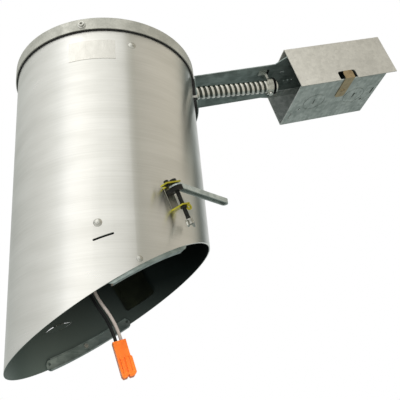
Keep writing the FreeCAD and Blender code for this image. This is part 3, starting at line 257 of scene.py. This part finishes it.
def platedSteel(name, light, dark, roughness, grainMm, metallic=1.0, stretch=(1, 1, 1)):
    # Plated or blackened small steel: one tone with fine handling marks and paler high spots
    look = plating
    material, add, place = startMaterial(name)
    spot = add("ShaderNodeMapping", {"Vector": place, "Scale": grainScale(grainMm, stretch)}, "Vector")
    grain = add("ShaderNodeTexNoise", {"Vector": spot, "Scale": 1.0, "Detail": 4.0, "Roughness": 0.6}, "Fac")
    cloud = add("ShaderNodeTexNoise", {"Vector": place, "Scale": 1 / (grainMm * look["cloudFactor"] * mm),
                                       "Detail": 2.0, "Roughness": 0.55}, "Fac")
    edge = add("ShaderNodeNewGeometry", output="Pointiness")
    worn = add("ShaderNodeMapRange", [edge, *look["highSpots"], 0.0, look["rubbed"]], "Result")
    marks = add("ShaderNodeMath", [grain, cloud], "Value", operation="ADD")
    marks = add("ShaderNodeMapRange", [marks, *look["tones"], 0.0, 1.0], "Result")
    shade = add("ShaderNodeMath", [marks, worn], "Value", operation="ADD")
    shade = add("ShaderNodeMath", [shade, 1.0], "Value", operation="MINIMUM")
    glossy, hazy = [roughness * factor for factor in look["glossSpread"]]
    closeMaterial(add, {
        "Base Color": add("ShaderNodeMix", {0: shade, 6: toLinear(dark), 7: toLinear(light)}, 2, data_type="RGBA"),
        "Roughness": add("ShaderNodeMapRange", [grain, *look["grains"], glossy, hazy], "Result"),
        "Metallic": metallic,
        "Normal": add("ShaderNodeBump", {"Height": grain, "Distance": look["depthMm"] * mm}, "Normal"),
    })
    return material


foil = {
    "light": "#efeee9",
    "dark": "#cfcec8",
    "roughness": 0.2,
    "creaseMm": 5.0,
    "creaseStretch": (1, 1, 2.2),
    "foldMm": 11.0,
    "foldWidth": 0.06,      # as a share of the distance between folds
    "foldRise": 0.4,
    "depthMm": 0.09,
}


def crinkledFoil():
    # Thin adhesive foil pressed on by hand: bright, with creases and small folds
    material, add, place = startMaterial("pressed_foil_patch")
    spot = add("ShaderNodeMapping",
               {"Vector": place, "Scale": grainScale(foil["creaseMm"], foil["creaseStretch"])}, "Vector")
    crease = add("ShaderNodeTexNoise", {"Vector": spot, "Scale": 1.0, "Detail": 5.0, "Roughness": 0.6}, "Fac")
    fold = add("ShaderNodeTexVoronoi", {"Vector": place, "Scale": 1 / (foil["foldMm"] * mm)}, "Distance",
               feature="DISTANCE_TO_EDGE")
    raised = add("ShaderNodeMapRange", [fold, 0.0, foil["foldWidth"], 0.0, foil["foldRise"]], "Result")
    height = add("ShaderNodeMath", [crease, raised], "Value", operation="ADD")
    closeMaterial(add, {
        "Base Color": add("ShaderNodeMix", {0: crease, 6: toLinear(foil["dark"]), 7: toLinear(foil["light"])}, 2,
                          data_type="RGBA"),
        "Roughness": foil["roughness"],
        "Metallic": 1.0,
        "Normal": add("ShaderNodeBump", {"Height": height, "Distance": foil["depthMm"] * mm}, "Normal"),
    })
    return material


moulding = {
    "ior": 1.5,
    "glowRadius": (0.6, 0.25, 0.1),     # red light travels furthest in an orange polymer
    "glowScale": 0.002,
    "cloudFactor": 12,
    "tones": (0.35, 0.65),
    "grains": (0.3, 0.7),
    "glossSpread": (0.85, 1.15),
}


def softMoulding(name, light, dark, roughness, grainMm, depthMm=0.02, subsurface=0.0):
    # Moulded or extruded polymer, foam or baked enamel: an even body colour, a faint orange-peel skin
    # and softly lit edges
    look = moulding
    material, add, place = startMaterial(name)
    grain = add("ShaderNodeTexNoise",
                {"Vector": place, "Scale": 1 / (grainMm * mm), "Detail": 3.0, "Roughness": 0.55}, "Fac")
    cloud = add("ShaderNodeTexNoise", {"Vector": place, "Scale": 1 / (grainMm * look["cloudFactor"] * mm),
                                       "Detail": 2.0, "Roughness": 0.55}, "Fac")
    share = add("ShaderNodeMapRange", [cloud, *look["tones"], 0.0, 1.0], "Result")
    glossy, hazy = [roughness * factor for factor in look["glossSpread"]]
    closeMaterial(add, {
        "Base Color": add("ShaderNodeMix", {0: share, 6: toLinear(dark), 7: toLinear(light)}, 2, data_type="RGBA"),
        "Roughness": add("ShaderNodeMapRange", [grain, *look["grains"], glossy, hazy], "Result"),
        "IOR": look["ior"],
        "Subsurface Weight": subsurface,
        "Subsurface Radius": look["glowRadius"],
        "Subsurface Scale": look["glowScale"],
        "Normal": add("ShaderNodeBump", {"Height": grain, "Distance": depthMm * mm}, "Normal"),
    })
    return material


# Places that both the finishes and the pieces made here use
conduitTilt = math.radians(9.4)
conduit = {
    "foot": (0.070, -0.014, 0.2098),
    "axis": (math.cos(conduitTilt), 0.0, math.sin(conduitTilt)),
    "length": 99.0 * mm,
    "lip": (94.3 * mm, 96.8 * mm),      # the collar is painted black between these distances from the foot, a painted shadow ring
    "grooveShade": (5.6 * mm, 6.2 * mm),       # and the hose is painted grey as groove shade up to the first from its axis, none past the second
}
clampPlace = {
    "reach": 91.5 * mm,
    "height": {"near": 59.5 * mm, "far": 11.44 * mm},
    "lean": math.radians(23.4),
    "azimuth": math.radians(-59.7),
    "strap": (-3.0 * mm, 13.8 * mm),    # between these heights along the screw the guide is plain strap
}
bandEdge = 0.15 * mm                    # half the width over which one colour turns into the next


def clampFrame(side):
    # A point on the clamp screw's line, and its upward direction; the far clamp is the near one mirrored
    out = np.array([math.cos(clampPlace["azimuth"]), math.sin(clampPlace["azimuth"]), 0.0])
    around = np.array([-out[1], out[0], 0.0])
    up = np.array([0, 0, math.cos(clampPlace["lean"])]) - around * math.sin(clampPlace["lean"])
    sign = 1 if side == "near" else -1
    return out * clampPlace["reach"] * sign + np.array([0, 0, clampPlace["height"][side]]), up


def tintNear(material, tone, foot, axis, fading, across=False):
    # Lays a tone over a finished material, full within the first distance and gone past the second.
    # The distance is along the axis from its foot, or across the axis from its line
    tree = material.node_tree
    add = partial(addNode, tree)
    place = next(node for node in tree.nodes if node.type == "TEX_COORD").outputs["Object"]
    socket = next(node for node in tree.nodes if node.type == "BSDF_PRINCIPLED").inputs["Base Color"]
    away = add("ShaderNodeVectorMath", [place, foot], "Vector", operation="SUBTRACT")
    if across:
        lever = add("ShaderNodeVectorMath", [away, axis], "Vector", operation="CROSS_PRODUCT")
        distance = add("ShaderNodeVectorMath", [lever], "Value", operation="LENGTH")
    else:
        along = add("ShaderNodeVectorMath", [away, axis], "Value", operation="DOT_PRODUCT")
        distance = add("ShaderNodeMath", [along], "Value", operation="ABSOLUTE")
    share = add("ShaderNodeMapRange", [distance, *fading, 1.0, 0.0], "Result")
    before = socket.links[0].from_socket
    tree.links.new(add("ShaderNodeMix", {0: share, 6: before, 7: toLinear(tone)}, 2, data_type="RGBA"), socket)
    return material


def tintBand(material, tone, foot, axis, low, high):
    # The tone lies between two distances along the axis: full within half their difference of the middle
    middle = np.array(foot) + np.array(axis) * (low + high) / 2
    half = (high - low) / 2
    return tintNear(material, tone, tuple(middle), tuple(axis), (half - bandEdge, half + bandEdge))


def lippedCollar():
    # Die-cast bright zinc collar whose last turn is painted black, a painted shadow ring where the hose ends
    material = platedSteel("die_cast_zinc_collar_painted_shadow", "#dedfd8", "#a9aba4", 0.26, 0.8)
    return tintBand(material, "#101112", conduit["foot"], conduit["axis"], *conduit["lip"])


def groovedStrip():
    # Bright rolled zinc strip on the hose's ridges, painted grey down in its grooves as painted shade
    material = platedSteel("interlocked_zinc_strip", "#f6f5ee", "#c9cac2", 0.14, 0.8)
    return tintNear(material, "#4c4f49", conduit["foot"], conduit["axis"], conduit["grooveShade"], across=True)


def tabbedGuide(side):
    # Yellow chromate on the two tabs that hold the screw; the strap behind them is left grey zinc
    material = platedSteel("yellow_chromate_zinc_" + side, "#d2cb4c", "#96962f", 0.3, 0.9)
    return tintBand(material, "#8f8e86", *clampFrame(side), *clampPlace["strap"])


def dress(name, material):
    # A CAD node keeps its mesh and takes a new finish in each of its slots
    for place in nodes[name].material_slots:
        place.material = material


# How far rubbing marks are drawn out on each sheet, and how the arm's sheet is turned
alongArm = (24, 1, 1)
acrossBox = (1, 10, 1)
levelOnClamp = (12, 12, 1)
levelOnRail = (14, 14, 1)
alongLatch = (1, 6, 1)
armTurn = math.radians(13.7)
finishes = {
    "can_body": millAluminium(),
    "top_cap": zincSheet("galvanised_cap_sheet", "#c9c9c1", "#a9aaa2", 0.38, 0.55, 9.0),
    # The arm is the same galvanised sheet as the box, painted darker as painted shade
    "arm_bracket": zincSheet("galvanised_arm_sheet_painted_shade", "#8a9692", "#56615d", 0.3, 0.46, 7.0, alongArm, armTurn),
    "junction_box": zincSheet("galvanised_box_sheet", "#cbd1cd", "#98a19d", 0.3, 0.46, 4.0, acrossBox, armTurn),
    "box_cover": zincSheet("galvanised_cover_sheet", "#c9c7bf", "#b3b1a9", 0.42, 0.6, 3.5),
    "flex_conduit": groovedStrip(),
    "foil_patch": crinkledFoil(),
    "access_plate": softMoulding("dark_baked_enamel", "#23281c", "#161a14", 0.42, 1.2),
    "cap_gasket": softMoulding("black_foam_rubber", "#161717", "#0c0d0d", 0.75, 0.6, depthMm=0.06),
    "can_connector": softMoulding("moulded_black_nylon", "#1c1d1e", "#121314", 0.4, 0.8),
    "quick_connector": softMoulding("moulded_orange_nylon", "#ff8420", "#fb7412", 0.3, 0.7, depthMm=0.012,
                                    subsurface=0.12),
    "box_connector": lippedCollar(),
    "cover_latch": platedSteel("tempered_spring_strip", "#c2ad8a", "#8f7a5e", 0.34, 1.0, stretch=alongLatch),
    "ground_screw": platedSteel("green_dyed_screw", "#3f8a52", "#1f5a30", 0.35, 0.7, metallic=0.6),
    "clamp_arm_near": zincSheet("bright_zinc_channel", "#ccd4d1", "#a1aba8", 0.24, 0.4, 4.0, levelOnClamp),
    "clamp_wing_near": platedSteel("pressed_bright_zinc", "#d5d5cd", "#9a9b94", 0.25, 0.7),
    "clamp_guide_near": tabbedGuide("near"),
    "clamp_guide_far": tabbedGuide("far"),
    "clamp_nut_near": platedSteel("black_oxide_steel", "#2a2b28", "#131413", 0.38, 0.6, metallic=0.7),
    "cap_screws": platedSteel("zinc_plated_fastener", "#dcdcd6", "#a6a7a2", 0.24, 0.5),
    "trim_rail_far": zincSheet("galvanised_rail_strip", "#a3b0ac", "#74817d", 0.3, 0.45, 5.0, levelOnRail),
}
shared = {
    "cap_screws": ["can_rivets", "rail_rivets", "saddle_rivets", "box_rivets", "connector_screw", "hinge_pin"],
    "cap_gasket": ["saddle_pad"],
    "cover_latch": ["latch_rivet"],
    "trim_rail_far": ["trim_rail_near"],
    "clamp_arm_near": ["clamp_arm_far"],
    "clamp_wing_near": ["clamp_wing_far"],
    "clamp_nut_near": ["clamp_nut_far", "clamp_stud_near", "clamp_stud_far", "clamp_screw_near",
                       "clamp_screw_far"],
}
for name, material in finishes.items():
    for same in [name] + shared.get(name, []):
        dress(same, material)
print("finishes on", len(finishes) + sum(len(group) for group in shared.values()), "nodes")


# Lead wires, from the connector in the can to the plug's top; the same points as their solids
wires = {
    "diameter": 0.0027,
    "black": [(69.013, -15.6, 209.637), (51.255, -15.6, 206.697), (24, -16.6, 184), (-8, -16, 142),
              (-29, -15, 94), (-32, -14.5, 48), (-20.5, -14, 9), (-3.941, -14, -14.664),
              (-0.287, -14, -29.212)],
    "white": [(69.013, -12.4, 209.637), (51.255, -12.4, 206.697), (27, -11.4, 187), (-5, -12.5, 146),
              (-26, -13, 98), (-28.6, -13.8, 51), (-17.2, -14, 11), (0.133, -14, -13.640),
              (3.787, -14, -28.188)],
    "lengths": {"black": 0.2874, "white": 0.2855},
    "light": {"black": "#232425", "white": "#d9cfc8"},
    "dark": {"black": "#161718", "white": "#b9aea6"},
    "roughness": 0.35,
    "grainMm": 2.0,
    "roundness": 6,         # each adds two sides to the section's four
    "smoothness": 16,       # steps to a point of the route
}


def makeWire(colour):
    curve = bpy.data.curves.new("lead_" + colour, "CURVE")
    curve.dimensions = "3D"
    curve.bevel_depth = wires["diameter"] / 2
    curve.bevel_resolution = wires["roundness"]
    curve.resolution_u = wires["smoothness"]
    curve.use_fill_caps = True
    spline = curve.splines.new("NURBS")
    points = np.array(wires[colour]) * mm
    spline.points.add(len(points) - 1)
    spline.points.foreach_set("co", np.c_[points, np.ones(len(points))].ravel())
    spline.order_u = 3
    spline.use_endpoint_u = True
    lead = bpy.data.objects.new("lead_" + colour, curve)
    scene.collection.objects.link(lead)
    lead.data.materials.append(softMoulding("extruded_" + colour + "_pvc", wires["light"][colour],
                                            wires["dark"][colour], wires["roughness"], wires["grainMm"]))
    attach(lead, "housing")
    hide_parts("wire_" + colour)


for colour in ("black", "white"):
    makeWire(colour)
print("lead wires laid")


# Surfaces worked out on grids
def gridFaces(rows, columns, closed=True, flip=False):
    # Quads between neighbouring rows and columns; closed joins the last column to the first
    row = np.arange(rows - 1)[:, None] * columns
    column = np.arange(columns if closed else columns - 1)[None, :]
    after = (column + 1) % columns
    quads = np.stack([row + column, row + after, row + columns + after, row + columns + column], axis=-1)
    return quads.reshape(-1, 4)[:, ::-1] if flip else quads.reshape(-1, 4)


def makePiece(name, points, faces, material, body, node=None, smoothUnder=40.0):
    mesh = bpy.data.meshes.new(name)
    mesh.from_pydata(np.asarray(points).reshape(-1, 3).tolist(), [], [tuple(face) for face in faces])
    mesh.materials.append(material)
    mesh.polygons.foreach_set("use_smooth", np.ones(len(mesh.polygons), dtype=bool))
    mesh.update()
    mesh.set_sharp_from_angle(angle=math.radians(smoothUnder))
    piece = bpy.data.objects.new(name, mesh)
    scene.collection.objects.link(piece)
    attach(piece, body)
    if node:
        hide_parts(node)


def turnedPoints(foot, axis, along, radius, angle):
    # The foot, plus the axis times the distance along it, plus the direction at the angle times the
    # radius; that direction is first times cosine plus second times sine, both square to the axis
    axis = np.array(axis) / np.linalg.norm(axis)
    helper = np.array([0.0, 1.0, 0.0]) if abs(axis[1]) < 0.9 else np.array([1.0, 0.0, 0.0])
    first = np.cross(helper, axis)
    first /= np.linalg.norm(first)
    second = np.cross(axis, first)
    ring = np.cos(angle)[..., None] * first + np.sin(angle)[..., None] * second
    return np.array(foot) + along[..., None] * axis + radius[..., None] * ring


hose = {
    "radius": 6.4 * mm,
    "groove": 5.45 * mm,
    "bore": 4.6 * mm,
    "turns": 19,
    "sharpness": 3.4,       # how square the ridges are
    "bias": 0.05,           # above zero the ridges are wider than the grooves
    "rowsPerTurn": 18,
    "columns": 56,
    "smoothUnder": 60.0,
}


def makeHose():
    # Wound strip: the radius is the groove's plus a soft step of the cosine of turns less angle,
    # so one ridge climbs the hose like a screw; the bore is a plain tube
    rows = hose["turns"] * hose["rowsPerTurn"] + 1
    columns = hose["columns"]
    along, angle = np.meshgrid(np.linspace(0, 1, rows), np.arange(columns) / columns, indexing="ij")
    wave = np.cos(2 * np.pi * (along * hose["turns"] - angle))
    step = 0.5 + 0.5 * np.tanh(hose["sharpness"] * (wave + hose["bias"])) / np.tanh(hose["sharpness"])
    radius = hose["groove"] + (hose["radius"] - hose["groove"]) * np.clip(step, 0, 1)
    outer = turnedPoints(conduit["foot"], conduit["axis"], along * conduit["length"], radius,
                         2 * np.pi * angle)
    ends = [0, rows - 1]
    inner = turnedPoints(conduit["foot"], conduit["axis"], along[ends] * conduit["length"],
                         np.full((2, columns), hose["bore"]), 2 * np.pi * angle[ends])
    # The wall and the bore are joined by a ring of quads at each end
    start = rows * columns
    last = start - columns
    top = start + columns
    side = np.arange(columns)
    after = (side + 1) % columns
    faces = [gridFaces(rows, columns), gridFaces(2, columns, flip=True) + start,
             np.stack([start + side, start + after, after, side], axis=-1),
             np.stack([last + side, last + after, top + after, top + side], axis=-1)]
    points = np.concatenate([outer.reshape(-1, 3), inner.reshape(-1, 3)])
    makePiece("wound_hose", points, np.concatenate(faces), finishes["flex_conduit"],
              "housing", "flex_conduit", hose["smoothUnder"])


makeHose()
print("hose wound")


# Heights are distances along the screw from the point that clampFrame gives
clampThread = {
    "radius": 1.75 * mm,
    "depth": 0.3 * mm,
    "pitch": 1.06 * mm,
    "lowEnd": -19.5 * mm,
    "wingTop": -13.0 * mm,      # plain shank inside the wing's hub, up to here
    "collarFoot": -6.1 * mm,
    "collarTop": -4.7 * mm,
    "collarRadius": 2.7 * mm,
    "seat": 15.5 * mm,
    "headHeight": 2.2 * mm,
    "headRadius": 2.9 * mm,
    "chamfer": 0.4 * mm,
    "columns": 24,
    "rowsPerTurn": 8,
    "smoothUnder": 50.0,
}


def threadRows(start, end):
    # Height, radius and thread depth of each row on a threaded stretch; the depth is nothing at its ends
    count = int((end - start) / clampThread["pitch"] * clampThread["rowsPerTurn"])
    depth = np.full(count, clampThread["depth"])
    depth[[0, -1]] = 0.0
    return np.c_[np.linspace(start, end, count), np.full(count, clampThread["radius"]), depth]


def makeClampScrew(side):
    # Threaded shaft with a collar and a dished hex head: the shaft's radius is the screw's less the
    # thread's depth times a triangle wave of height over pitch less angle
    settings = clampThread
    reach, chamfer = settings["radius"], settings["chamfer"]
    low, high, wide = settings["collarFoot"], settings["collarTop"], settings["collarRadius"]
    seat, headRadius = settings["seat"], settings["headRadius"]
    top = seat + settings["headHeight"]
    shank = [(settings["lowEnd"], reach, 0), (settings["wingTop"], reach, 0)]
    collar = [(low, reach, 0), (low, wide, 0), (high, wide, 0), (high, reach, 0)]
    head = [(seat, headRadius, 0), (top - chamfer, headRadius, 0), (top, headRadius - chamfer, 0),
            (top, headRadius - 2 * chamfer, 0), (top - 3 * chamfer, headRadius - 3 * chamfer, 0)]
    height, radius, depth = np.concatenate([shank, threadRows(settings["wingTop"], low), collar,
                                            threadRows(high, seat), head]).T
    columns = settings["columns"]
    angle = np.arange(columns) / columns
    turn = height[:, None] / settings["pitch"] - angle
    wave = np.abs(2 * (turn - np.floor(turn + 0.5)))
    shaft = radius[:, None] - depth[:, None] * wave
    # The head's outer three rows are six-sided: their radius shrinks towards the middle of each flat
    shaft[-5:-2] *= np.cos(np.pi / 6) / np.cos((angle * 6 % 1 - 0.5) * np.pi / 3)
    rows = len(height)
    points = turnedPoints(*clampFrame(side), np.repeat(height[:, None], columns, axis=1), shaft,
                          2 * np.pi * np.repeat(angle[None, :], rows, axis=0))
    faces = gridFaces(rows, columns).tolist()
    faces.append(list(range(columns))[::-1])
    faces.append([(rows - 1) * columns + index for index in range(columns)])
    makePiece("threaded_screw_" + side, points, faces, finishes["clamp_nut_near"], "clamp_screw_" + side,
              "clamp_screw_" + side, settings["smoothUnder"])


for side in ("near", "far"):
    makeClampScrew(side)
print("clamp screws threaded")


slotTongue = {
    "azimuth": math.radians(122.0),
    "height": 8.5 * mm,
    "tilt": math.radians(-26.0),
    "length": 30.0 * mm,
    "width": 5.0 * mm,
    "lengthKept": 0.96,     # shares of the slot's length and width, so the tongue clears its edges
    "widthKept": 0.98,
    "slit": 0.55 * mm,      # the light that shows along the upper edge
    "outside": 82.4 * mm,
    "thick": 0.7 * mm,
    "dish": 1.1 * mm,
    "stepsAlong": 48,
    "stepsAcross": 10,
}


def makeSlotTongue():
    # Lanced tongue left in the lens-shaped slot: its half width is a parabola of the place along it, it
    # stops a slit short of the upper edge, and it is pressed inwards by the dish times a cosine of the
    # place along it times a straight rise across it
    settings = slotTongue
    rows, columns = settings["stepsAlong"], settings["stepsAcross"]
    along, across = np.meshgrid(np.linspace(-1, 1, rows), np.linspace(-1, 1, columns), indexing="ij")
    lens = 1 - along ** 2
    lower = settings["width"] / 2 * lens * settings["widthKept"]
    upper = lower - settings["slit"] * lens
    rise = (across + 1) / 2
    over = -lower + rise * (upper + lower)
    run = along * settings["length"] / 2 * settings["lengthKept"]
    press = settings["dish"] * np.cos(along * np.pi / 2) * rise
    cosine, sine = math.cos(settings["tilt"]), math.sin(settings["tilt"])
    sideways = run * cosine - over * sine
    height = settings["height"] + run * sine + over * cosine
    out = np.array([math.cos(settings["azimuth"]), math.sin(settings["azimuth"]), 0.0])
    around = np.array([-out[1], out[0], 0.0])
    layers = []
    for inset in (0.0, settings["thick"]):
        radial = np.sqrt((settings["outside"] - inset) ** 2 - sideways ** 2) - press
        layers.append(radial[..., None] * out + sideways[..., None] * around
                      + height[..., None] * np.array([0, 0, 1.0]))
    # The front and back layers are joined by quads round their rim
    size = rows * columns
    loop = np.concatenate([np.arange(columns), np.arange(1, rows) * columns + columns - 1,
                           (rows - 1) * columns + np.arange(columns - 2, -1, -1),
                           np.arange(rows - 2, 0, -1) * columns])
    after = np.roll(loop, -1)
    faces = [gridFaces(rows, columns, closed=False), gridFaces(rows, columns, closed=False, flip=True) + size,
             np.stack([loop, loop + size, after + size, after], axis=-1)]
    points = np.concatenate([layer.reshape(-1, 3) for layer in layers])
    makePiece("slot_tongue", points, np.concatenate(faces), finishes["can_body"], "housing")


makeSlotTongue()
print("slot tongue pressed")


# Floor, sky and lights
studio = {
    "floorZ": -0.42,
    "floorReach": 4.0,
    "floorColour": "#f1f1ef",
    "floorRoughness": 0.9,
    "floorGrainMm": 60.0,
    # Azimuth stops as shares of a full turn from -180 degrees, each with the tone that side gives a mirror
    "upper": [(0.00, "#c8c8c4"), (0.055, "#dbdbd7"), (0.08, "#e8e8e5"), (0.098, "#fffefb"),
              (0.14, "#fdfbf6"), (0.21, "#e5e4df"), (0.285, "#d0cfca"), (0.304, "#c8c7c2"),
              (0.316, "#949389"), (0.36, "#a8a49a"), (0.51, "#b4aea1"), (0.55, "#a09e93"),
              (0.572, "#323a35"), (0.597, "#454d48"), (0.625, "#aeb2b0"), (0.66, "#d2d4d2"),
              (0.84, "#abada9"), (1.00, "#c8c8c4")],
    "lower": [(0.0, "#c4c4bf"), (0.12, "#dcdbd6"), (0.26, "#c8c7c1"), (0.42, "#b4b2a8"), (0.55, "#929995"),
              (0.64, "#9ba3a0"), (0.78, "#7d8683"), (0.88, "#a3a8a5"), (1.0, "#c4c4bf")],
    "horizon": (-0.12, 0.06),       # lower tones turn to upper ones between these heights of a sight line
    "strength": 1.42,
    "fade": (0.44, 0.60, 0.80),     # the sky's strength falls to the third's share between the first two
}


def fillRamp(node, stops):
    ramp = node.color_ramp
    while len(ramp.elements) < len(stops):
        ramp.elements.new(1.0)
    for element, (spot, colour) in zip(ramp.elements, stops):
        element.position = spot
        element.color = toLinear(colour)
    return node.outputs["Color"]


def makeSky():
    # A wrap of soft light and shade that changes with compass direction, darker below the horizon;
    # the camera itself sees plain white
    world = bpy.data.worlds.new("studio_wrap")
    scene.world = world
    world.use_nodes = True
    world.node_tree.nodes.clear()
    add = partial(addNode, world.node_tree)
    parts = add("ShaderNodeSeparateXYZ", [add("ShaderNodeTexCoord", output="Generated")])
    compass = add("ShaderNodeMath", [parts.outputs["Y"], parts.outputs["X"]], "Value", operation="ARCTAN2")
    share = add("ShaderNodeMapRange", [compass, -math.pi, math.pi, 0.0, 1.0], "Result")
    upper = fillRamp(add("ShaderNodeValToRGB", {"Fac": share}), studio["upper"])
    lower = fillRamp(add("ShaderNodeValToRGB", {"Fac": share}), studio["lower"])
    rise = add("ShaderNodeMapRange", [parts.outputs["Z"], *studio["horizon"], 0.0, 1.0], "Result")
    wrap = add("ShaderNodeMix", {0: rise, 6: lower, 7: upper}, 2, data_type="RGBA")
    low, high, least = studio["fade"]
    fading = add("ShaderNodeMapRange", [parts.outputs["Z"], low, high, least, 1.0], "Result")
    power = add("ShaderNodeMath", [fading, studio["strength"]], "Value", operation="MULTIPLY")
    light = add("ShaderNodeBackground", {"Color": wrap, "Strength": power}, "Background")
    plain = add("ShaderNodeBackground", {"Color": (1, 1, 1, 1), "Strength": 1.0}, "Background")
    seen = add("ShaderNodeLightPath", output="Is Camera Ray")
    both = add("ShaderNodeMixShader", [seen, light, plain], "Shader")
    add("ShaderNodeOutputWorld", {"Surface": both})


def makeFloor():
    # Matt paper sweep: nearly white, slightly cloudy
    material, add, place = startMaterial("matt_paper_sweep")
    cloud = add("ShaderNodeTexNoise", {"Vector": place, "Scale": 1 / (studio["floorGrainMm"] * mm),
                                       "Detail": 3.0, "Roughness": 0.55}, "Fac")
    colour = add("ShaderNodeMix", {0: cloud, 6: toLinear(studio["floorColour"]), 7: (1, 1, 1, 1)}, 2,
                 data_type="RGBA")
    closeMaterial(add, {"Base Color": colour, "Roughness": studio["floorRoughness"]})
    corners = np.array([(-1, -1), (1, -1), (1, 1), (-1, 1)]) * studio["floorReach"]
    mesh = bpy.data.meshes.new("studio_floor")
    mesh.from_pydata([(x, y, studio["floorZ"]) for x, y in corners.tolist()], [], [(0, 1, 2, 3)])
    mesh.materials.append(material)
    floor = bpy.data.objects.new("studio_floor", mesh)
    scene.collection.objects.link(floor)
    floor.visible_glossy = False
    floor.visible_diffuse = False


lamps = {
    "key_softbox": {"place": (-1.1, -1.0, 1.3), "aim": (0.05, 0.0, 0.12), "size": (0.9, 0.9), "power": 14.0},
    "front_softbox": {"place": (0.2, -1.6, -0.1), "aim": (0.05, 0.0, 0.12), "size": (0.9, 0.7), "power": 16.0},
    "box_fill": {"place": (0.13, -0.13, 0.20), "aim": (0.23, 0.03, 0.245), "size": (0.06, 0.06), "power": 0.16},
}


def addLamp(name, place, aim, size, power):
    data = bpy.data.lights.new(name, "AREA")
    data.shape = "RECTANGLE"
    data.size, data.size_y = size
    data.energy = power
    lamp = bpy.data.objects.new(name, data)
    lamp.location = place
    lamp.visible_glossy = False     # the sky gives the metal its reflections, the lamps light what is matt
    lamp.rotation_mode = "QUATERNION"
    lamp.rotation_quaternion = (Vector(place) - Vector(aim)).to_track_quat("Z", "Y")
    scene.collection.objects.link(lamp)


makeSky()
makeFloor()
for name, settings in lamps.items():
    addLamp(name, **settings)
scene.view_settings.view_transform = "Standard"
scene.view_settings.look = "None"
print("studio lit")
